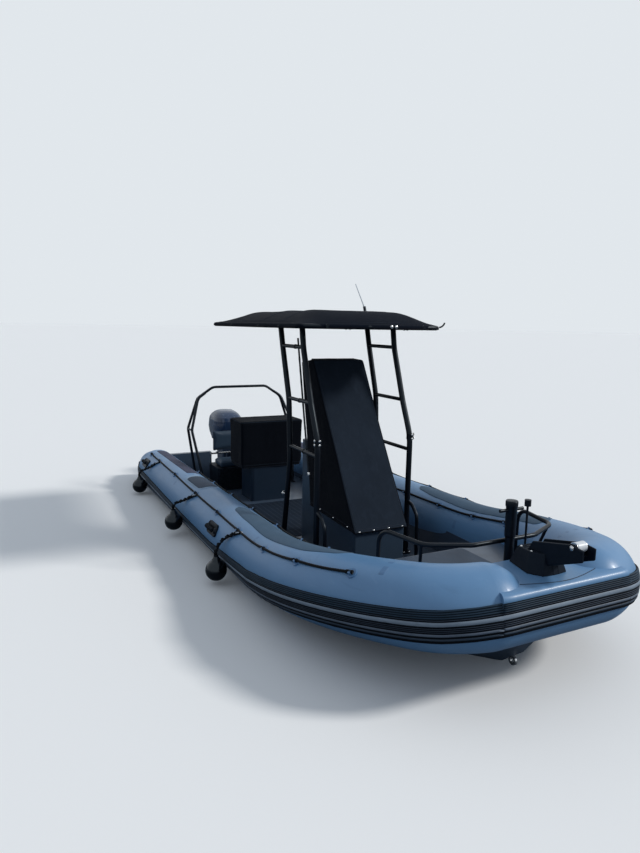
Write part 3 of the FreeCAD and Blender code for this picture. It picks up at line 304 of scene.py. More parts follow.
def make_rubber_looks():
    """Band, ribs and stripes, scuffed along their length."""
    # The middle and lower stripes are darker copies of the upper stripe's grey: painted shade, darker down
    # the band as it turns under the tube.
    for name, color, rough, vary, scale, spec, marks, amount, size, fine in (
            ("band_rubber", (7, 11, 18), 0.62, 0.18, 9.0, 0.10, (26, 34, 44), 0.30, 18.0, 0.20),
            ("stripe_rubber", (118, 132, 148), 0.5, 0.12, 7.0, 0.3, (80, 92, 106), 0.40, 15.0, 0.15),
            ("rib_rubber", (32, 50, 66), 0.55, 0.12, 9.0, 0.15, (58, 74, 90), 0.25, 18.0, 0),
            ("thin_line", (52, 62, 76), 0.55, 0.14, 9.0, 0.15, (26, 34, 44), 0.5, 14.0, 0),
            ("stripe_mid_painted_shade", (88, 100, 116), 0.5, 0.12, 7.0, 0.25, (52, 62, 76), 0.40, 15.0, 0.15),
            ("stripe_low_painted_shade", (46, 60, 76), 0.55, 0.12, 7.0, 0.2, (26, 34, 46), 0.40, 15.0, 0.15)):
        look = Surface(name, color, rough, vary=vary, scale=scale, spec=spec)
        look.scuffs_and_painted_highlights(marks, amount, size, ALONG_BAND)
        if fine:
            look.ripple(300, fine, 0.001)
        look.done()


def make_hard_looks():
    for name, color, rough, spec, coat, marks, amount, size, fine in (
            ("hull_gelcoat", (56, 70, 88), 0.32, 0.35, 0.12, (78, 92, 108), 0.25, 7.0, (60, 0.05, 0.003)),
            ("console_gelcoat", (44, 58, 74), 0.36, 0.3, 0.08, (62, 76, 92), 0.22, 8.0, (90, 0.06, 0.002)),
            ("lean_base", (24, 38, 54), 0.4, 0.25, 0.05, (44, 58, 74), 0.22, 8.0, (90, 0.06, 0.002))):
        look = Surface(name, color, rough, vary=0.08, spec=spec, coat=coat)
        look.scuffs_and_painted_highlights(marks, amount, size).ripple(*fine).done()
    for name, color, rough in (("black_metal", (10, 14, 22), 0.34), ("engine_paint", (36, 50, 70), 0.38)):
        look = Surface(name, color, rough, vary=0.10, scale=6.0, spec=0.22, coat=0.02)
        look.scuffs_and_painted_highlights(scaled(look.base, 2.2, 0.01), 0.25, 30.0, (1, 1, 0.3)).ripple(420, 0.10, 0.0008).done()
    Surface("stainless", (196, 198, 200), 0.22, metal=1.0, vary=0.06, scale=30.0) \
        .ripple(700, 0.12, 0.0006, (1, 1, 0.1)).done()
    Surface("foredeck", (52, 64, 80), 0.55, vary=0.08, spec=0.2) \
        .grain(0.004, 0.4).scuffs_and_painted_highlights((74, 86, 102), 0.25, 8.0).done()
    Surface("black_plastic", (8, 12, 20), 0.40, vary=0.10, scale=3.0, spec=0.2) \
        .grain(0.0018, 0.18).worn((48, 56, 66), 0.35).done()
    Surface("step_mould", (10, 17, 28), 0.55, vary=0.10, scale=3.0, spec=0.14) \
        .grain(0.003, 0.25).worn((40, 50, 62), 0.3).done()
    Surface("white_plastic", (214, 220, 226), 0.35, vary=0.05, scale=12.0, spec=0.45) \
        .ripple(200, 0.08, 0.001).done()
    Surface("fender_vinyl", (7, 9, 14), 0.22, vary=0.15, scale=10.0, spec=0.35, coat=0.15) \
        .scuffs_and_painted_highlights((24, 28, 34), 0.30, 22.0).ripple(90, 0.08, 0.002).done()
    # The pale vertical streaks are painted highlights, standing for reflections on the glossy cowl; the dark
    # vertical streaks after them darken the blue in streaks.
    Surface("cowl_plastic", (34, 54, 84), 0.24, vary=0.10, scale=5.0, spec=0.45, coat=0.20) \
        .scuffs_and_painted_highlights((120, 146, 178), 0.45, 11.0, (2.4, 2.4, 0.35)) \
        .scuffs_and_painted_highlights((14, 22, 38), 0.5, 9.0, (2.6, 2.6, 0.4)).ripple(70, 0.04, 0.002).done()
    Surface("rope", (7, 10, 15), 0.85, vary=0.25, scale=60.0, spec=0.12, sheen=0.08) \
        .ripple(500, 0.4, 0.001).done()
    Surface("white_cord", (206, 212, 218), 0.75, vary=0.08, scale=40.0, spec=0.3) \
        .ripple(500, 0.3, 0.001).done()
    Surface("thread", (52, 60, 72), 0.8, vary=0.2, scale=80.0, spec=0.2).done()


# The solids that stay in sight: own looks, and bevels in millimetres
OWN_LOOKS = {"rope_anchors": "seam_tape", "leaning_post_base": "lean_base", "bow_locker_lid": "foredeck"}
EDGES = {"bow_locker_lid": 4, "outboard_bracket": 3, "outboard_swivel": 3, "outboard_leg": 3,
         "bench_base": 3, "console_base": 4, "leaning_post_base": 4, "rope_anchors": 1.5, "grab_handles": 3,
         "bench_hinge_ears": 1.5, "towing_eyes": 2, "propeller": 1.5, "lid_hinges": 1.2, "deck_pads": 1.2}


def bevelled(made, width, segments, angle):
    bevel = made.modifiers.new("edges", "BEVEL")
    bevel.width = width
    bevel.segments = segments
    bevel.limit_method = "ANGLE"
    bevel.angle_limit = math.radians(angle)


def subdivided(made):
    finer = made.modifiers.new("finer", "SUBSURF")
    finer.levels = 1
    finer.render_levels = 1


def dress_nodes():
    slots = {part["node"]: part["material_slot"] for part in frame["record"]["subparts"]}
    for name, node in NODES.items():
        node.data.materials.clear()
        node.data.materials.append(LOOKS[OWN_LOOKS.get(name, slots[name])])
    for name, width in EDGES.items():
        bevelled(NODES[name], width / 1000.0, 2, 42)


# Mesh building: a shape is a pair, its points and its faces
def mesh_of(name, shape):
    verts, faces = shape
    mesh = bpy.data.meshes.new(name)
    mesh.from_pydata([tuple(v) for v in verts], [], faces)
    mesh.update()
    return mesh


def piece(name, shape, look, body="root", smooth=True):
    """New piece on a body; its slot is its look's name."""
    mesh = mesh_of(name, shape)
    made = placed(name, mesh)
    mesh.materials.append(LOOKS[look])
    for polygon in mesh.polygons:
        polygon.use_smooth = smooth
    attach(made, body)
    return made


def grid_faces(rows, columns, around=False):
    """Quads between rows of points; around closes each row on itself."""
    faces = []
    for i in range(rows - 1):
        for j in range(columns if around else columns - 1):
            k = (j + 1) % columns
            a = i * columns
            b = a + columns
            faces.append((a + j, a + k, b + k, b + j))
    return faces


def joined(shapes):
    verts, faces = [], []
    for more_verts, more_faces in shapes:
        base = len(verts)
        verts += more_verts
        faces += [tuple(base + i for i in face) for face in more_faces]
    return verts, faces


def axes_of(normal):
    """Two directions across a normal, and the normal."""
    normal = Vector(normal).normalized()
    side = normal.orthogonal().normalized()
    return side, normal.cross(side), normal


def turned(base, axes, rows, count, capped=True):
    """Skin round an axis: rows of height and radius, where a radius may depend on the angle."""
    side, lift, normal = axes
    base = Vector(base)
    verts = []
    for out, radius in rows:
        for k in range(count):
            t = 2 * math.pi * k / count
            reach = radius(t) if callable(radius) else radius
            verts.append(base + (side * math.cos(t) + lift * math.sin(t)) * reach + normal * out)
    faces = grid_faces(len(rows), count, True)
    if capped:
        faces.append(tuple(range((len(rows) - 1) * count, len(rows) * count)))
    return verts, faces


def frames_along(points):
    """Place, side and lift directions at each point, carried without twist."""
    last = len(points) - 1
    ways = [(points[min(i + 1, last)] - points[max(i - 1, 0)]).normalized() for i in range(last + 1)]
    side = ways[0].orthogonal().normalized()
    found = []
    for point, way in zip(points, ways):
        side = (side - way * side.dot(way)).normalized()
        found.append((point, side, way.cross(side)))
    return found


def tube_mesh(points, radius, sides=10, capped=True):
    """Round skin along points; the radius may depend on the distance and the angle."""
    verts, travelled = [], 0.0
    for i, (point, side, lift) in enumerate(frames_along(points)):
        if i:
            travelled += (point - points[i - 1]).length
        for j in range(sides):
            angle = 2 * math.pi * j / sides
            reach = radius(travelled, angle) if callable(radius) else radius
            verts.append(point + side * (math.cos(angle) * reach) + lift * (math.sin(angle) * reach))
    faces = grid_faces(len(points), sides, True)
    if capped:
        faces.append(tuple(range(sides))[::-1])
        faces.append(tuple((len(points) - 1) * sides + j for j in range(sides)))
    return verts, faces


def loop_mesh(points, radius, sides=8):
    """Round skin along a closed line of points."""
    return tube_mesh(points + points[:1], radius, sides, False)


def smooth_line(points, resolution=10):
    """Points along a smooth curve steered by a few."""
    curve = bpy.data.curves.new("steer", "CURVE")
    curve.dimensions = "3D"
    spline = curve.splines.new("NURBS")
    spline.points.add(len(points) - 1)
    for control, point in zip(spline.points, points):
        control.co = (*point, 1.0)
    spline.order_u = 3
    spline.use_endpoint_u = True
    spline.resolution_u = resolution
    holder = bpy.data.objects.new("steer", curve)
    mesh = bpy.data.meshes.new_from_object(holder)
    line = [vertex.co.copy() for vertex in mesh.vertices]
    bpy.data.objects.remove(holder)
    bpy.data.curves.remove(curve)
    bpy.data.meshes.remove(mesh)
    return line


def even_line(points, step):
    """The same line with its points a step apart."""
    line, left = [points[0]], step
    for a, b in zip(points, points[1:]):
        run = (b - a).length
        while run > 1e-9 and left <= run:
            line.append(a + (b - a) * (left / run))
            left += step
        left -= run
    if (line[-1] - points[-1]).length > step * 0.3:
        line.append(points[-1])
    return line


def rope_skin(points, radius, pitch=None, sides=12):
    """Three laid strands."""
    pitch = pitch or radius * 7

    def strands(s, a):
        return radius * (0.80 + 0.20 * abs(math.cos(1.5 * (a - 2 * math.pi * s / pitch))))
    return tube_mesh(even_line(points, pitch / 7), strands, sides)


def knot_skin(place, along, normal, size, radius):
    """Overhand knot pulled tight, centred on a line."""
    cross = normal.cross(along)
    line = []
    for i in range(49):
        t = 2 * math.pi * i / 48
        line.append(place + along * ((math.sin(t) + 2 * math.sin(2 * t)) * size * 0.36)
                    + cross * ((math.cos(t) - 2 * math.cos(2 * t)) * size * 0.30)
                    + normal * (-math.sin(3 * t) * size * 0.42 + size * 0.25))
    return tube_mesh(line, radius, 8, False)


# Path of the tubes, metres
TUBE_R = 0.252
TUBE_Y = 1.010
AFT_RISE = math.radians(1.3)
BOW_RISE = math.radians(9.3)
KNEE_X = 1.050
PLAN_X = 1.540
SIDE_R = 2.700
SIDE_BEND = math.radians(27)
BOW_R = 0.470
BOW_BEND = math.radians(47)
CONE_X = -2.940
CONE_LENGTH = 0.330
CONE_TIP_R = 0.178
NOSE_TOP = 0.735
DECK_Z = NOSE_TOP + 0.0002
NOSE_FACE = 0.245
NOSE_ROUND = 0.038
BAND_THICK = 0.012
BAND_RISE = [(-3.400, 0.238), (-1.640, 0.224), (-0.600, 0.215), (0.300, 0.226), (1.300, 0.315),
             (2.140, 0.470), (2.700, 0.572), (3.060, 0.642), (3.170, 0.675), (3.280, 0.716)]
AFT_UP = Vector((-math.sin(AFT_RISE), 0, math.cos(AFT_RISE)))
BOW_DIR = Vector((math.cos(BOW_RISE), 0, math.sin(BOW_RISE)))
BOW_UP = Vector((-math.sin(BOW_RISE), 0, math.cos(BOW_RISE)))


def aft_centre(x):
    return Vector((x, -TUBE_Y, 0.190 + (x + 3.200) * math.tan(AFT_RISE)))


def bow_outward(turn):
    return BOW_DIR * math.sin(turn) - INBOARD * math.cos(turn)


KNEE_R = (PLAN_X - KNEE_X) / (math.sin(BOW_RISE) - math.sin(AFT_RISE))
KNEE_CENTRE = aft_centre(KNEE_X) + AFT_UP * KNEE_R
KNEE_END = KNEE_CENTRE - BOW_UP * KNEE_R
SIDE_CENTRE = KNEE_END + INBOARD * SIDE_R
SIDE_END = SIDE_CENTRE + bow_outward(SIDE_BEND) * SIDE_R
BOW_CENTRE = SIDE_END - bow_outward(SIDE_BEND) * BOW_R
NOSE_TURN = SIDE_BEND + BOW_BEND
NOSE_CORNER = BOW_CENTRE + bow_outward(NOSE_TURN) * BOW_R


def station(x):
    """Centre, outward and up directions of the starboard tube where its centreline passes x."""
    if x <= KNEE_X:
        return aft_centre(x), -INBOARD, AFT_UP
    if x <= KNEE_END.x:
        slope = math.asin((x - KNEE_X) / KNEE_R + math.sin(AFT_RISE))
        up = Vector((-math.sin(slope), 0, math.cos(slope)))
        return KNEE_CENTRE - up * KNEE_R, -INBOARD, up
    if x <= SIDE_END.x:
        turn = math.asin((x - KNEE_END.x) / (SIDE_R * BOW_DIR.x))
        return SIDE_CENTRE + bow_outward(turn) * SIDE_R, bow_outward(turn), BOW_UP
    turn = math.asin(min(1.0, (x - BOW_CENTRE.x) / (BOW_R * BOW_DIR.x)))
    return BOW_CENTRE + bow_outward(turn) * BOW_R, bow_outward(turn), BOW_UP


def tube_radius(x):
    return TUBE_R + (CONE_TIP_R - TUBE_R) * max(0.0, CONE_X - x) / CONE_LENGTH


def port(point):
    return Vector((point[0], -point[1], point[2]))


def on_tube(x, angle, lift=0.0, side=1):
    """Point above the tube's skin, angle in degrees above the outward horizontal; side -1 is port."""
    centre, outward, up = station(x)
    turn = math.radians(angle)
    point = centre + (outward * math.cos(turn) + up * math.sin(turn)) * (tube_radius(x) + lift)
    return point if side > 0 else port(point)


def skin_normal(x, angle, side=1):
    return (on_tube(x, angle, 1.0, side) - on_tube(x, angle, 0.0, side)).normalized()


def skin_way(x, angle, side):
    """Direction ahead along the tube's skin."""
    return (on_tube(x + 0.01, angle, 0, side) - on_tube(x - 0.01, angle, 0, side)).normalized()


def between(rows, x):
    """Values at x from rows of x and values; long tables of more than one value are eased."""
    if x <= rows[0][0]:
        return rows[0][1:]
    for first, last in zip(rows, rows[1:]):
        if x <= last[0]:
            share = (x - first[0]) / (last[0] - first[0])
            share = share * share * (3 - 2 * share) if len(rows) > 2 and len(rows[0]) > 2 else share
            return tuple(a + (b - a) * share for a, b in zip(first[1:], last[1:]))
    return rows[-1][1:]


def pad_skin(rows, side, lift, corner=0.05, steps=48):
    """Pad laid on a tube: rows of x, angle from, angle to; its corners are round."""
    first, last = rows[0][0], rows[-1][0]
    across = [0.0, 0.015, 0.06, 0.15, 0.3, 0.45, 0.6, 0.75, 0.88, 0.95, 0.985, 1.0]
    places = [first + (last - first) * i / steps for i in range(steps + 1)]
    ends = [corner * f for f in (0.003, 0.04, 0.12, 0.25, 0.45, 0.7)]
    places = sorted(set(places[1:-1] + [first + e for e in ends] + [last - e for e in ends]))
    places = [first] + places + [last]
    turn = math.degrees(corner / TUBE_R)
    verts = []
    for i, x in enumerate(places):
        low, high = between(rows, x)
        near = min(1.0, min(x - first, last - x) / corner)
        cut = min(turn * (1 - math.sqrt(max(0.0, 1 - (1 - near) ** 2))), 0.46 * (high - low))
        low, high = low + cut, high - cut
        for j, share in enumerate(across):
            rim = i in (0, len(places) - 1) or j in (0, len(across) - 1)
            verts.append(on_tube(x, low + (high - low) * share, -0.001 if rim else lift, side))
    faces = grid_faces(len(places), len(across))
    return verts, (faces if side > 0 else [face[::-1] for face in faces])


# Pads: name, look, thickness, corner, rows of x and the angles that they span
PADS = [("aft_pads", "pad_violet", 0.0032, 0.03, [(-2.85, 84, 117), (-1.27, 84, 117)]),
        ("step_pad_rims", "pad_pale", 0.0016, 0.10, [(-1.12, 63, 118), (-0.48, 63, 118)]),
        ("step_pads", "pad_step", 0.0040, 0.06, [(-1.06, 68, 117), (-0.53, 68, 117)]),
        ("crescent_pads", "pad_crescent", 0.0030, 0.09,
         [(0.36, 80, 107), (0.75, 75, 116), (1.30, 70, 120), (1.85, 71, 121), (2.25, 84, 119)])]


def make_pads():
    for name, look, lift, corner, rows in PADS:
        pads = joined([pad_skin(rows, side, lift, corner) for side in (1, -1)])
        pad = piece(name, pads, look)
        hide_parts("wear_patches")


def band_stations():
    """Starboard half of the band's path: centre, outward, up, radius, and whether it is the nose's face."""
    rows = []
    for i in range(9):
        x = CONE_X - CONE_LENGTH + 0.002 + (CONE_LENGTH - 0.002) * i / 8
        rows.append((aft_centre(x), -INBOARD, AFT_UP, tube_radius(x), False))
    x = CONE_X + 0.08
    while x < SIDE_END.x:
        rows.append((*station(x), TUBE_R, False))
        x += 0.08
    for i in range(19):
        turn = SIDE_BEND + BOW_BEND * i / 18
        rows.append((BOW_CENTRE + bow_outward(turn) * BOW_R, bow_outward(turn), BOW_UP, TUBE_R, False))
    for i in range(7):
        turn = NOSE_TURN + (math.pi / 2 - NOSE_TURN) * i / 6
        rows.append((NOSE_CORNER, Vector((math.sin(turn), -math.cos(turn), 0)), UP, TUBE_R, True))
    for i in range(1, 13):
        centre = Vector((NOSE_CORNER.x, NOSE_CORNER.y * (1 - i / 12), NOSE_CORNER.z))
        rows.append((centre, AHEAD, UP, TUBE_R, True))
    return rows


def band_point(row, drop, lift):
    """Point above the band's skin at a drop below its top line."""
    centre, outward, up, radius, nose = row
    z = between(BAND_RISE, (centre + outward * radius).x)[0] - drop
    if nose:
        dz = z - NOSE_CORNER.z
        edge = NOSE_TOP - NOSE_ROUND - NOSE_CORNER.z
        if dz > edge:
            rise = min(1.0, (dz - edge) / NOSE_ROUND)
            reach = NOSE_FACE - NOSE_ROUND + (NOSE_ROUND + lift) * math.sqrt(1 - rise * rise)
            return centre + outward * reach + up * (edge + (NOSE_ROUND + lift) * rise)
        if dz > math.sqrt(TUBE_R ** 2 - NOSE_FACE ** 2):
            return centre + outward * (NOSE_FACE + lift) + up * dz
        deep = math.sqrt(max(0.0, (TUBE_R + lift) ** 2 - dz * dz))
        return centre + outward * deep + up * dz
    radius = radius + lift
    a, b = radius * outward.z, radius * up.z
    turn = math.asin(max(-1.0, min(1.0, (z - centre.z) / math.hypot(a, b)))) - math.atan2(a, b)
    return centre + outward * (radius * math.cos(turn)) + up * (radius * math.sin(turn))


def band_strip(rows, drop, height, lift):
    """Raised line along the band, both sides and the nose."""
    section = [(-0.5, -0.001), (-0.34, lift * 0.8), (0.0, lift), (0.34, lift * 0.8), (0.5, -0.001)]
    lines = [[band_point(row, drop + share * height, BAND_THICK + out) for share, out in section]
             for row in rows]
    lines += [[port(v) for v in line] for line in reversed(lines[:-1])]
    columns = len(section)
    faces = grid_faces(len(lines), columns)
    faces.append(tuple(range(columns)))
    faces.append(tuple((len(lines) - 1) * columns + j for j in range(columns))[::-1])
    return [v for line in lines for v in line], faces


def make_band_lines():
    rows = band_stations()
    ribs = [band_strip(rows, drop, 0.0088, 0.0030) for drop in (0.0065, 0.0185, 0.0305, 0.0425)]
    piece("band_ribs", joined(ribs), "rib_rubber")
    lines = [band_strip(rows, drop, 0.0034, 0.0024) for drop in (0.0545, 0.101, 0.112, 0.122)]
    piece("band_lines", joined(lines), "thin_line")
    # The middle and lower stripes take the darker copies of the stripe colour, painted shade.
    for name, drop, height, look in (("band_stripe_upper", 0.0765, 0.026, "stripe_rubber"),
                                     ("band_stripe_middle", 0.142, 0.0175, "stripe_mid_painted_shade"),
                                     ("band_stripe_lower", 0.170, 0.0150, "stripe_low_painted_shade")):
        stripe = piece(name, band_strip(rows, drop, height, 0.0034), look)
        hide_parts("rub_stripes")


# Ropes: anchors as x and angle on the tube; fenders as x, z, and x of their tie
ROPE_R = 0.0100
OUTER = [(-2.740, 64), (-2.250, 62), (-1.400, 59), (-0.480, 54), (0.270, 52), (0.860, 50), (1.470, 49),
         (1.960, 48), (2.440, 48)]
INNER = [(x, 132) for x in (-1.500, -0.900, -0.300, 0.300, 0.880, 1.400, 1.850)]
FENDERS = [(-2.400, 0.110, -2.180), (-0.620, 0.155, -0.400), (0.750, 0.125, 0.940)]
FENDER_R = 0.090
EYE_LIFT = 0.0165


def rope_route(anchors, side):
    points = []
    for (first, start), (last, end) in zip(anchors, anchors[1:]):
        points.append(on_tube(first, start, EYE_LIFT, side))
        for share in (0.3, 0.7):
            angle = start + (end - start) * share - 0.5
            points.append(on_tube(first + (last - first) * share, angle, 0.0066, side))
    points.append(on_tube(*anchors[-1], EYE_LIFT, side))
    return smooth_line(points, 12)


def make_lifelines():
    """Rope on its anchors, with a dark sleeve and a knot at each."""
    for name, node, anchors in (("outer_ropes", "lifelines", OUTER),
                                ("inner_ropes", "inner_lifelines", INNER)):
        parts = []
        for side in (1, -1):
            parts.append(rope_skin(rope_route(anchors, side), ROPE_R))
            for index, (x, angle) in enumerate(anchors):
                along = skin_way(x, angle, side)
                eye = on_tube(x, angle, EYE_LIFT, side)
                parts.append(tube_mesh([eye + along * (0.0018 * (k - 9)) for k in range(19)],
                                       lambda s, a: 0.0112 + 0.0028 * abs(math.cos(s * 480)), 12))
                knot = on_tube(x, angle, 0.012, side) + along * (0.034 if index == 0 else -0.034)
                parts.append(knot_skin(knot, along, skin_normal(x, angle, side), 0.0098, 0.0056))
        made = piece(name, joined(parts), "rope")
        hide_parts(node)


def outer_angle(x):
    for (x0, angle0), (x1, angle1) in zip(OUTER, OUTER[1:]):
        if x <= x1:
            return angle0 + (angle1 - angle0) * (x - x0) / (x1 - x0)
    return OUTER[-1][1]


def make_lanyards():
    """Doubled, knotted rope from each fender to the life line, with a short white tie."""
    parts, ties = [], []
    for x, z, tie_x in FENDERS:
        centre = aft_centre(x)
        reach = TUBE_R + BAND_THICK + FENDER_R + 0.0033
        start = Vector((x, centre.y - math.sqrt(reach ** 2 - (centre.z - z) ** 2), z + 0.135))
        angle = outer_angle(tie_x)
        middle = (x + tie_x) / 2
        line = smooth_line([start, start + UP * 0.045, on_tube(x, 22, 0.026), on_tube(middle, 38, 0.010),
                            on_tube((middle + tie_x) / 2, (38 + angle) / 2, 0.010),
                            on_tube(tie_x, angle - 1.2, 0.012)], 14)
        frames = frames_along(line)
        for sign in (1, -1):
            core = []
            for i, (point, side, lift) in enumerate(frames):
                swing = 2 * math.pi * i / 11
                core.append(point + (side * math.cos(swing) + lift * math.sin(swing)) * (0.0050 * sign))
            parts.append(rope_skin(core, 0.0058, 0.035, 10))
        for share in (0.06, 0.22, 0.36, 0.50, 0.64, 0.80):
            point, side, lift = frames[int(share * (len(line) - 1))]
            way = side.cross(lift)
            out = (point - Vector((point.x, *aft_centre(point.x).yz))).normalized()
            out = (out - way * out.dot(way)).normalized()
            parts.append(knot_skin(point + out * 0.003, way, out, 0.0150, 0.0072))
        normal = skin_normal(tie_x, angle)
        cross = normal.cross(Vector((1, 0, 0.02)).normalized())
        turns = [2 * math.pi * k / 16 for k in range(16)]
        for i in range(4):
            spot = on_tube(tie_x + (i - 1.5) * 0.0062, angle, 0.0072)
            ring = [spot + (normal * math.cos(t) + cross * math.sin(t)) * 0.0078 for t in turns]
            ties.append(loop_mesh(ring, 0.0030))
        tail = smooth_line([spot, spot + (line[-6] - spot) * 0.5 + normal * 0.012, line[-12] + normal * 0.012,
                            line[-20] + normal * 0.010], 10)
        ties.append(rope_skin(tail, 0.0034, 0.02, 8))
    lanyards = piece("fender_ropes", joined(parts), "rope")
    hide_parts("fender_lanyards")
    piece("fender_ties", joined(ties), "white_cord")


# Cloth
def rounded_ring(x0, x1, half, corner, across=10, bend=6):
    """Points round a rectangle with round corners, starting at the middle of its fore side; x, y pairs."""
    corner = min(corner, 0.49 * (x1 - x0), 0.98 * half)
    fore, aft, side = x1 - corner, x0 + corner, half - corner
    found = []

    def straight(a, b, count):
        for i in range(count):
            found.append((a[0] + (b[0] - a[0]) * i / count, a[1] + (b[1] - a[1]) * i / count))
    last = (x1, 0.0)
    for quarter, (cx, cy) in enumerate(((fore, side), (aft, side), (aft, -side), (fore, -side))):
        turns = [math.radians(90.0 * (quarter + i / bend)) for i in range(bend + 1)]
        bow = [(cx + corner * math.cos(t), cy + corner * math.sin(t)) for t in turns]
        straight(last, bow[0], 2 * across if quarter else across)
        found += bow[:-1]
        last = bow[-1]
    straight(last, (x1, 0.0), across)
    return found


def shoulder(radius):
    """Inset and rise of the rings round a quarter turn."""
    turns = [math.radians(18 * i) for i in range(1, 6)]
    return [(radius * (1 - math.cos(t)), radius * math.sin(t)) for t in turns]


def soften(shape, shift):
    """Move points along their normals by shift(point, normal)."""
    mesh = mesh_of("soften", shape)
    moved = [v.co + v.normal * shift(v.co, v.normal) for v in mesh.vertices]
    bpy.data.meshes.remove(mesh)
    return moved, shape[1]


def close_top(rings, levels, spine_half, rise, dome):
    """Add rings that shrink from the last one to a spine across the boat, rising to a low crown."""
    last = rings[-1]
    mid_x = sum(p.x for p in last) / len(last)
    for i in range(1, levels + 1):
        share = i / levels
        ring = []
        for p in last:
            spine = Vector((mid_x, max(-spine_half, min(spine_half, p.y)), p.z))
            q = p.lerp(spine, share)
            q.z = p.z + rise * math.sin(share * math.pi / 2) + dome * (1 - (q.y / 0.5) ** 2) * share
            ring.append(q)
        rings.append(ring)


def ring_skin(rings):
    return [p for ring in rings for p in ring], grid_faces(len(rings), len(rings[0]), True)


def welded(shape):
    """The same skin without doubled points and faces that have closed up."""
    verts, faces = shape
    mesh = bmesh.new()
    made = [mesh.verts.new(v) for v in verts]
    for face in faces:
        mesh.faces.new([made[i] for i in face])
    bmesh.ops.remove_doubles(mesh, verts=mesh.verts, dist=0.0002)
    bmesh.ops.dissolve_degenerate(mesh, dist=0.0001, edges=mesh.edges)
    loose = [v for v in mesh.verts if not v.link_faces]
    bmesh.ops.delete(mesh, geom=loose, context="VERTS")
    mesh.verts.index_update()
    verts = [v.co.copy() for v in mesh.verts]
    faces = [tuple(v.index for v in face.verts) for face in mesh.faces]
    mesh.free()
    return verts, faces


def tree_of(shape):
    return BVHTree.FromPolygons([tuple(v) for v in shape[0]], shape[1])


def laid(tree, points):
    """The points moved on to a skin."""
    return [tree.find_nearest(p)[0] for p in points]


def down(tree, x, y):
    """Where a plumb line meets the cloth."""
    hit = tree.ray_cast((x, y, 2.6), (0, 0, -1))
    return hit[0] if hit[0] is not None else tree.find_nearest((x, y, 2.2))[0]


def stitches(line, lift):
    """Thread that dips into the cloth between its stitches."""
    return tube_mesh(even_line([p + lift for p in line], 0.004),
                     lambda s, a: 0.0011 * (0.3 + 0.7 * abs(math.sin(math.pi * s / 0.016))), 5)


def folds(across, along, amount):
    """Soft creases in cloth."""
    broad = noise.noise(Vector((across * 3.1, along * 1.4, 3.7)))
    fine = noise.noise(Vector((across * 9.0 + broad * 2, along * 4.0, 8.2)))
    return amount * (0.7 * broad + 0.35 * fine)


def stud(hit, radius):
    """Domed fastener on a skin; hit is a place and its normal."""
    rows = [(-0.001, 1.25), (0.0012, 1.25), (0.0016, 1.0), (0.0042, 0.92), (0.0062, 0.6), (0.0070, 0.15)]
    return turned(hit[0], axes_of(hit[1]), [(out, radius * share) for out, share in rows], 14)


# Leaning post's cover: aft, fore, half width, hem and top
LEAN_BOX = (-1.720, -1.275, 0.398, 0.470, 1.030)
LEAN_CORNER = 0.032
LEAN_SHOULDER = 0.022


def make_leaning_cover():
    x0, x1, half, low, high = LEAN_BOX
    top = high - LEAN_SHOULDER

    def ring(inset, z):
        line = rounded_ring(x0 + inset, x1 - inset, half - inset, LEAN_CORNER, 12)
        return [Vector((x, y, z)) for x, y in line]

    def crease(p, n):
        if p.z > high - 0.03:
            return folds(p.x * 2, p.y * 1.5, 0.003)
        hang = (high - p.z) / (high - low)
        return folds((p.y if abs(n.x) > 0.7 else p.x) * 1.6, p.z, 0.004 + 0.006 * hang) - 0.002
    rings = []
    for i in range(23):
        level = i / 22
        flare = 0.004 - 0.006 * math.sin(math.pi * level) - 0.020 * max(0.0, 1 - level / 0.22) ** 2
        rings.append(ring(0.008 - flare, low + (top - low) * level))
    rings += [ring(0.008 + inset, top + rise) for inset, rise in shoulder(LEAN_SHOULDER)]
    close_top(rings, 12, 0.36, -0.006, 0.002)
    skin = soften(welded(ring_skin(rings)), crease)
    # The whole cover takes the darker side cloth, painted shade.
    cover = piece("leaning_cover", skin, "cover_side_painted_shade")
    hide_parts("leaning_post_cover")
    tree = tree_of(skin)
    piping = [loop_mesh(laid(tree, ring(inset, z)), radius)
              for z, inset, radius in ((high - 0.010, 0.010, 0.0042), (low + 0.035, 0.006, 0.0022),
                                       (low + 0.002, 0.005, 0.0022))]
    edge = piece("leaning_piping", joined(piping), "cover_front_painted_light")


# Console's cover: corners of its hem and top on the centreline, and the solid it lies on, x and z
COVER_HALF = 0.272
HEM_AFT, HEM_FORE = Vector((0.320, 0, 0.455)), Vector((1.195, 0, 0.430))
TOP_AFT, TOP_FORE = Vector((0.082, 0, 1.796)), Vector((0.352, 0, 1.822))
CONSOLE = [(0.100, 0.060), (1.165, 0.060), (1.165, 0.470), (0.960, 0.760), (0.560, 1.060), (0.100, 1.060)]
CONSOLE_HALF = 0.262


def within(outline, x, z):
    inside = False
    for (x0, z0), (x1, z1) in zip(outline, outline[1:] + outline[:1]):
        if (z0 > z) != (z1 > z) and x < x0 + (x1 - x0) * (z - z0) / (z1 - z0):
            inside = not inside
    return inside


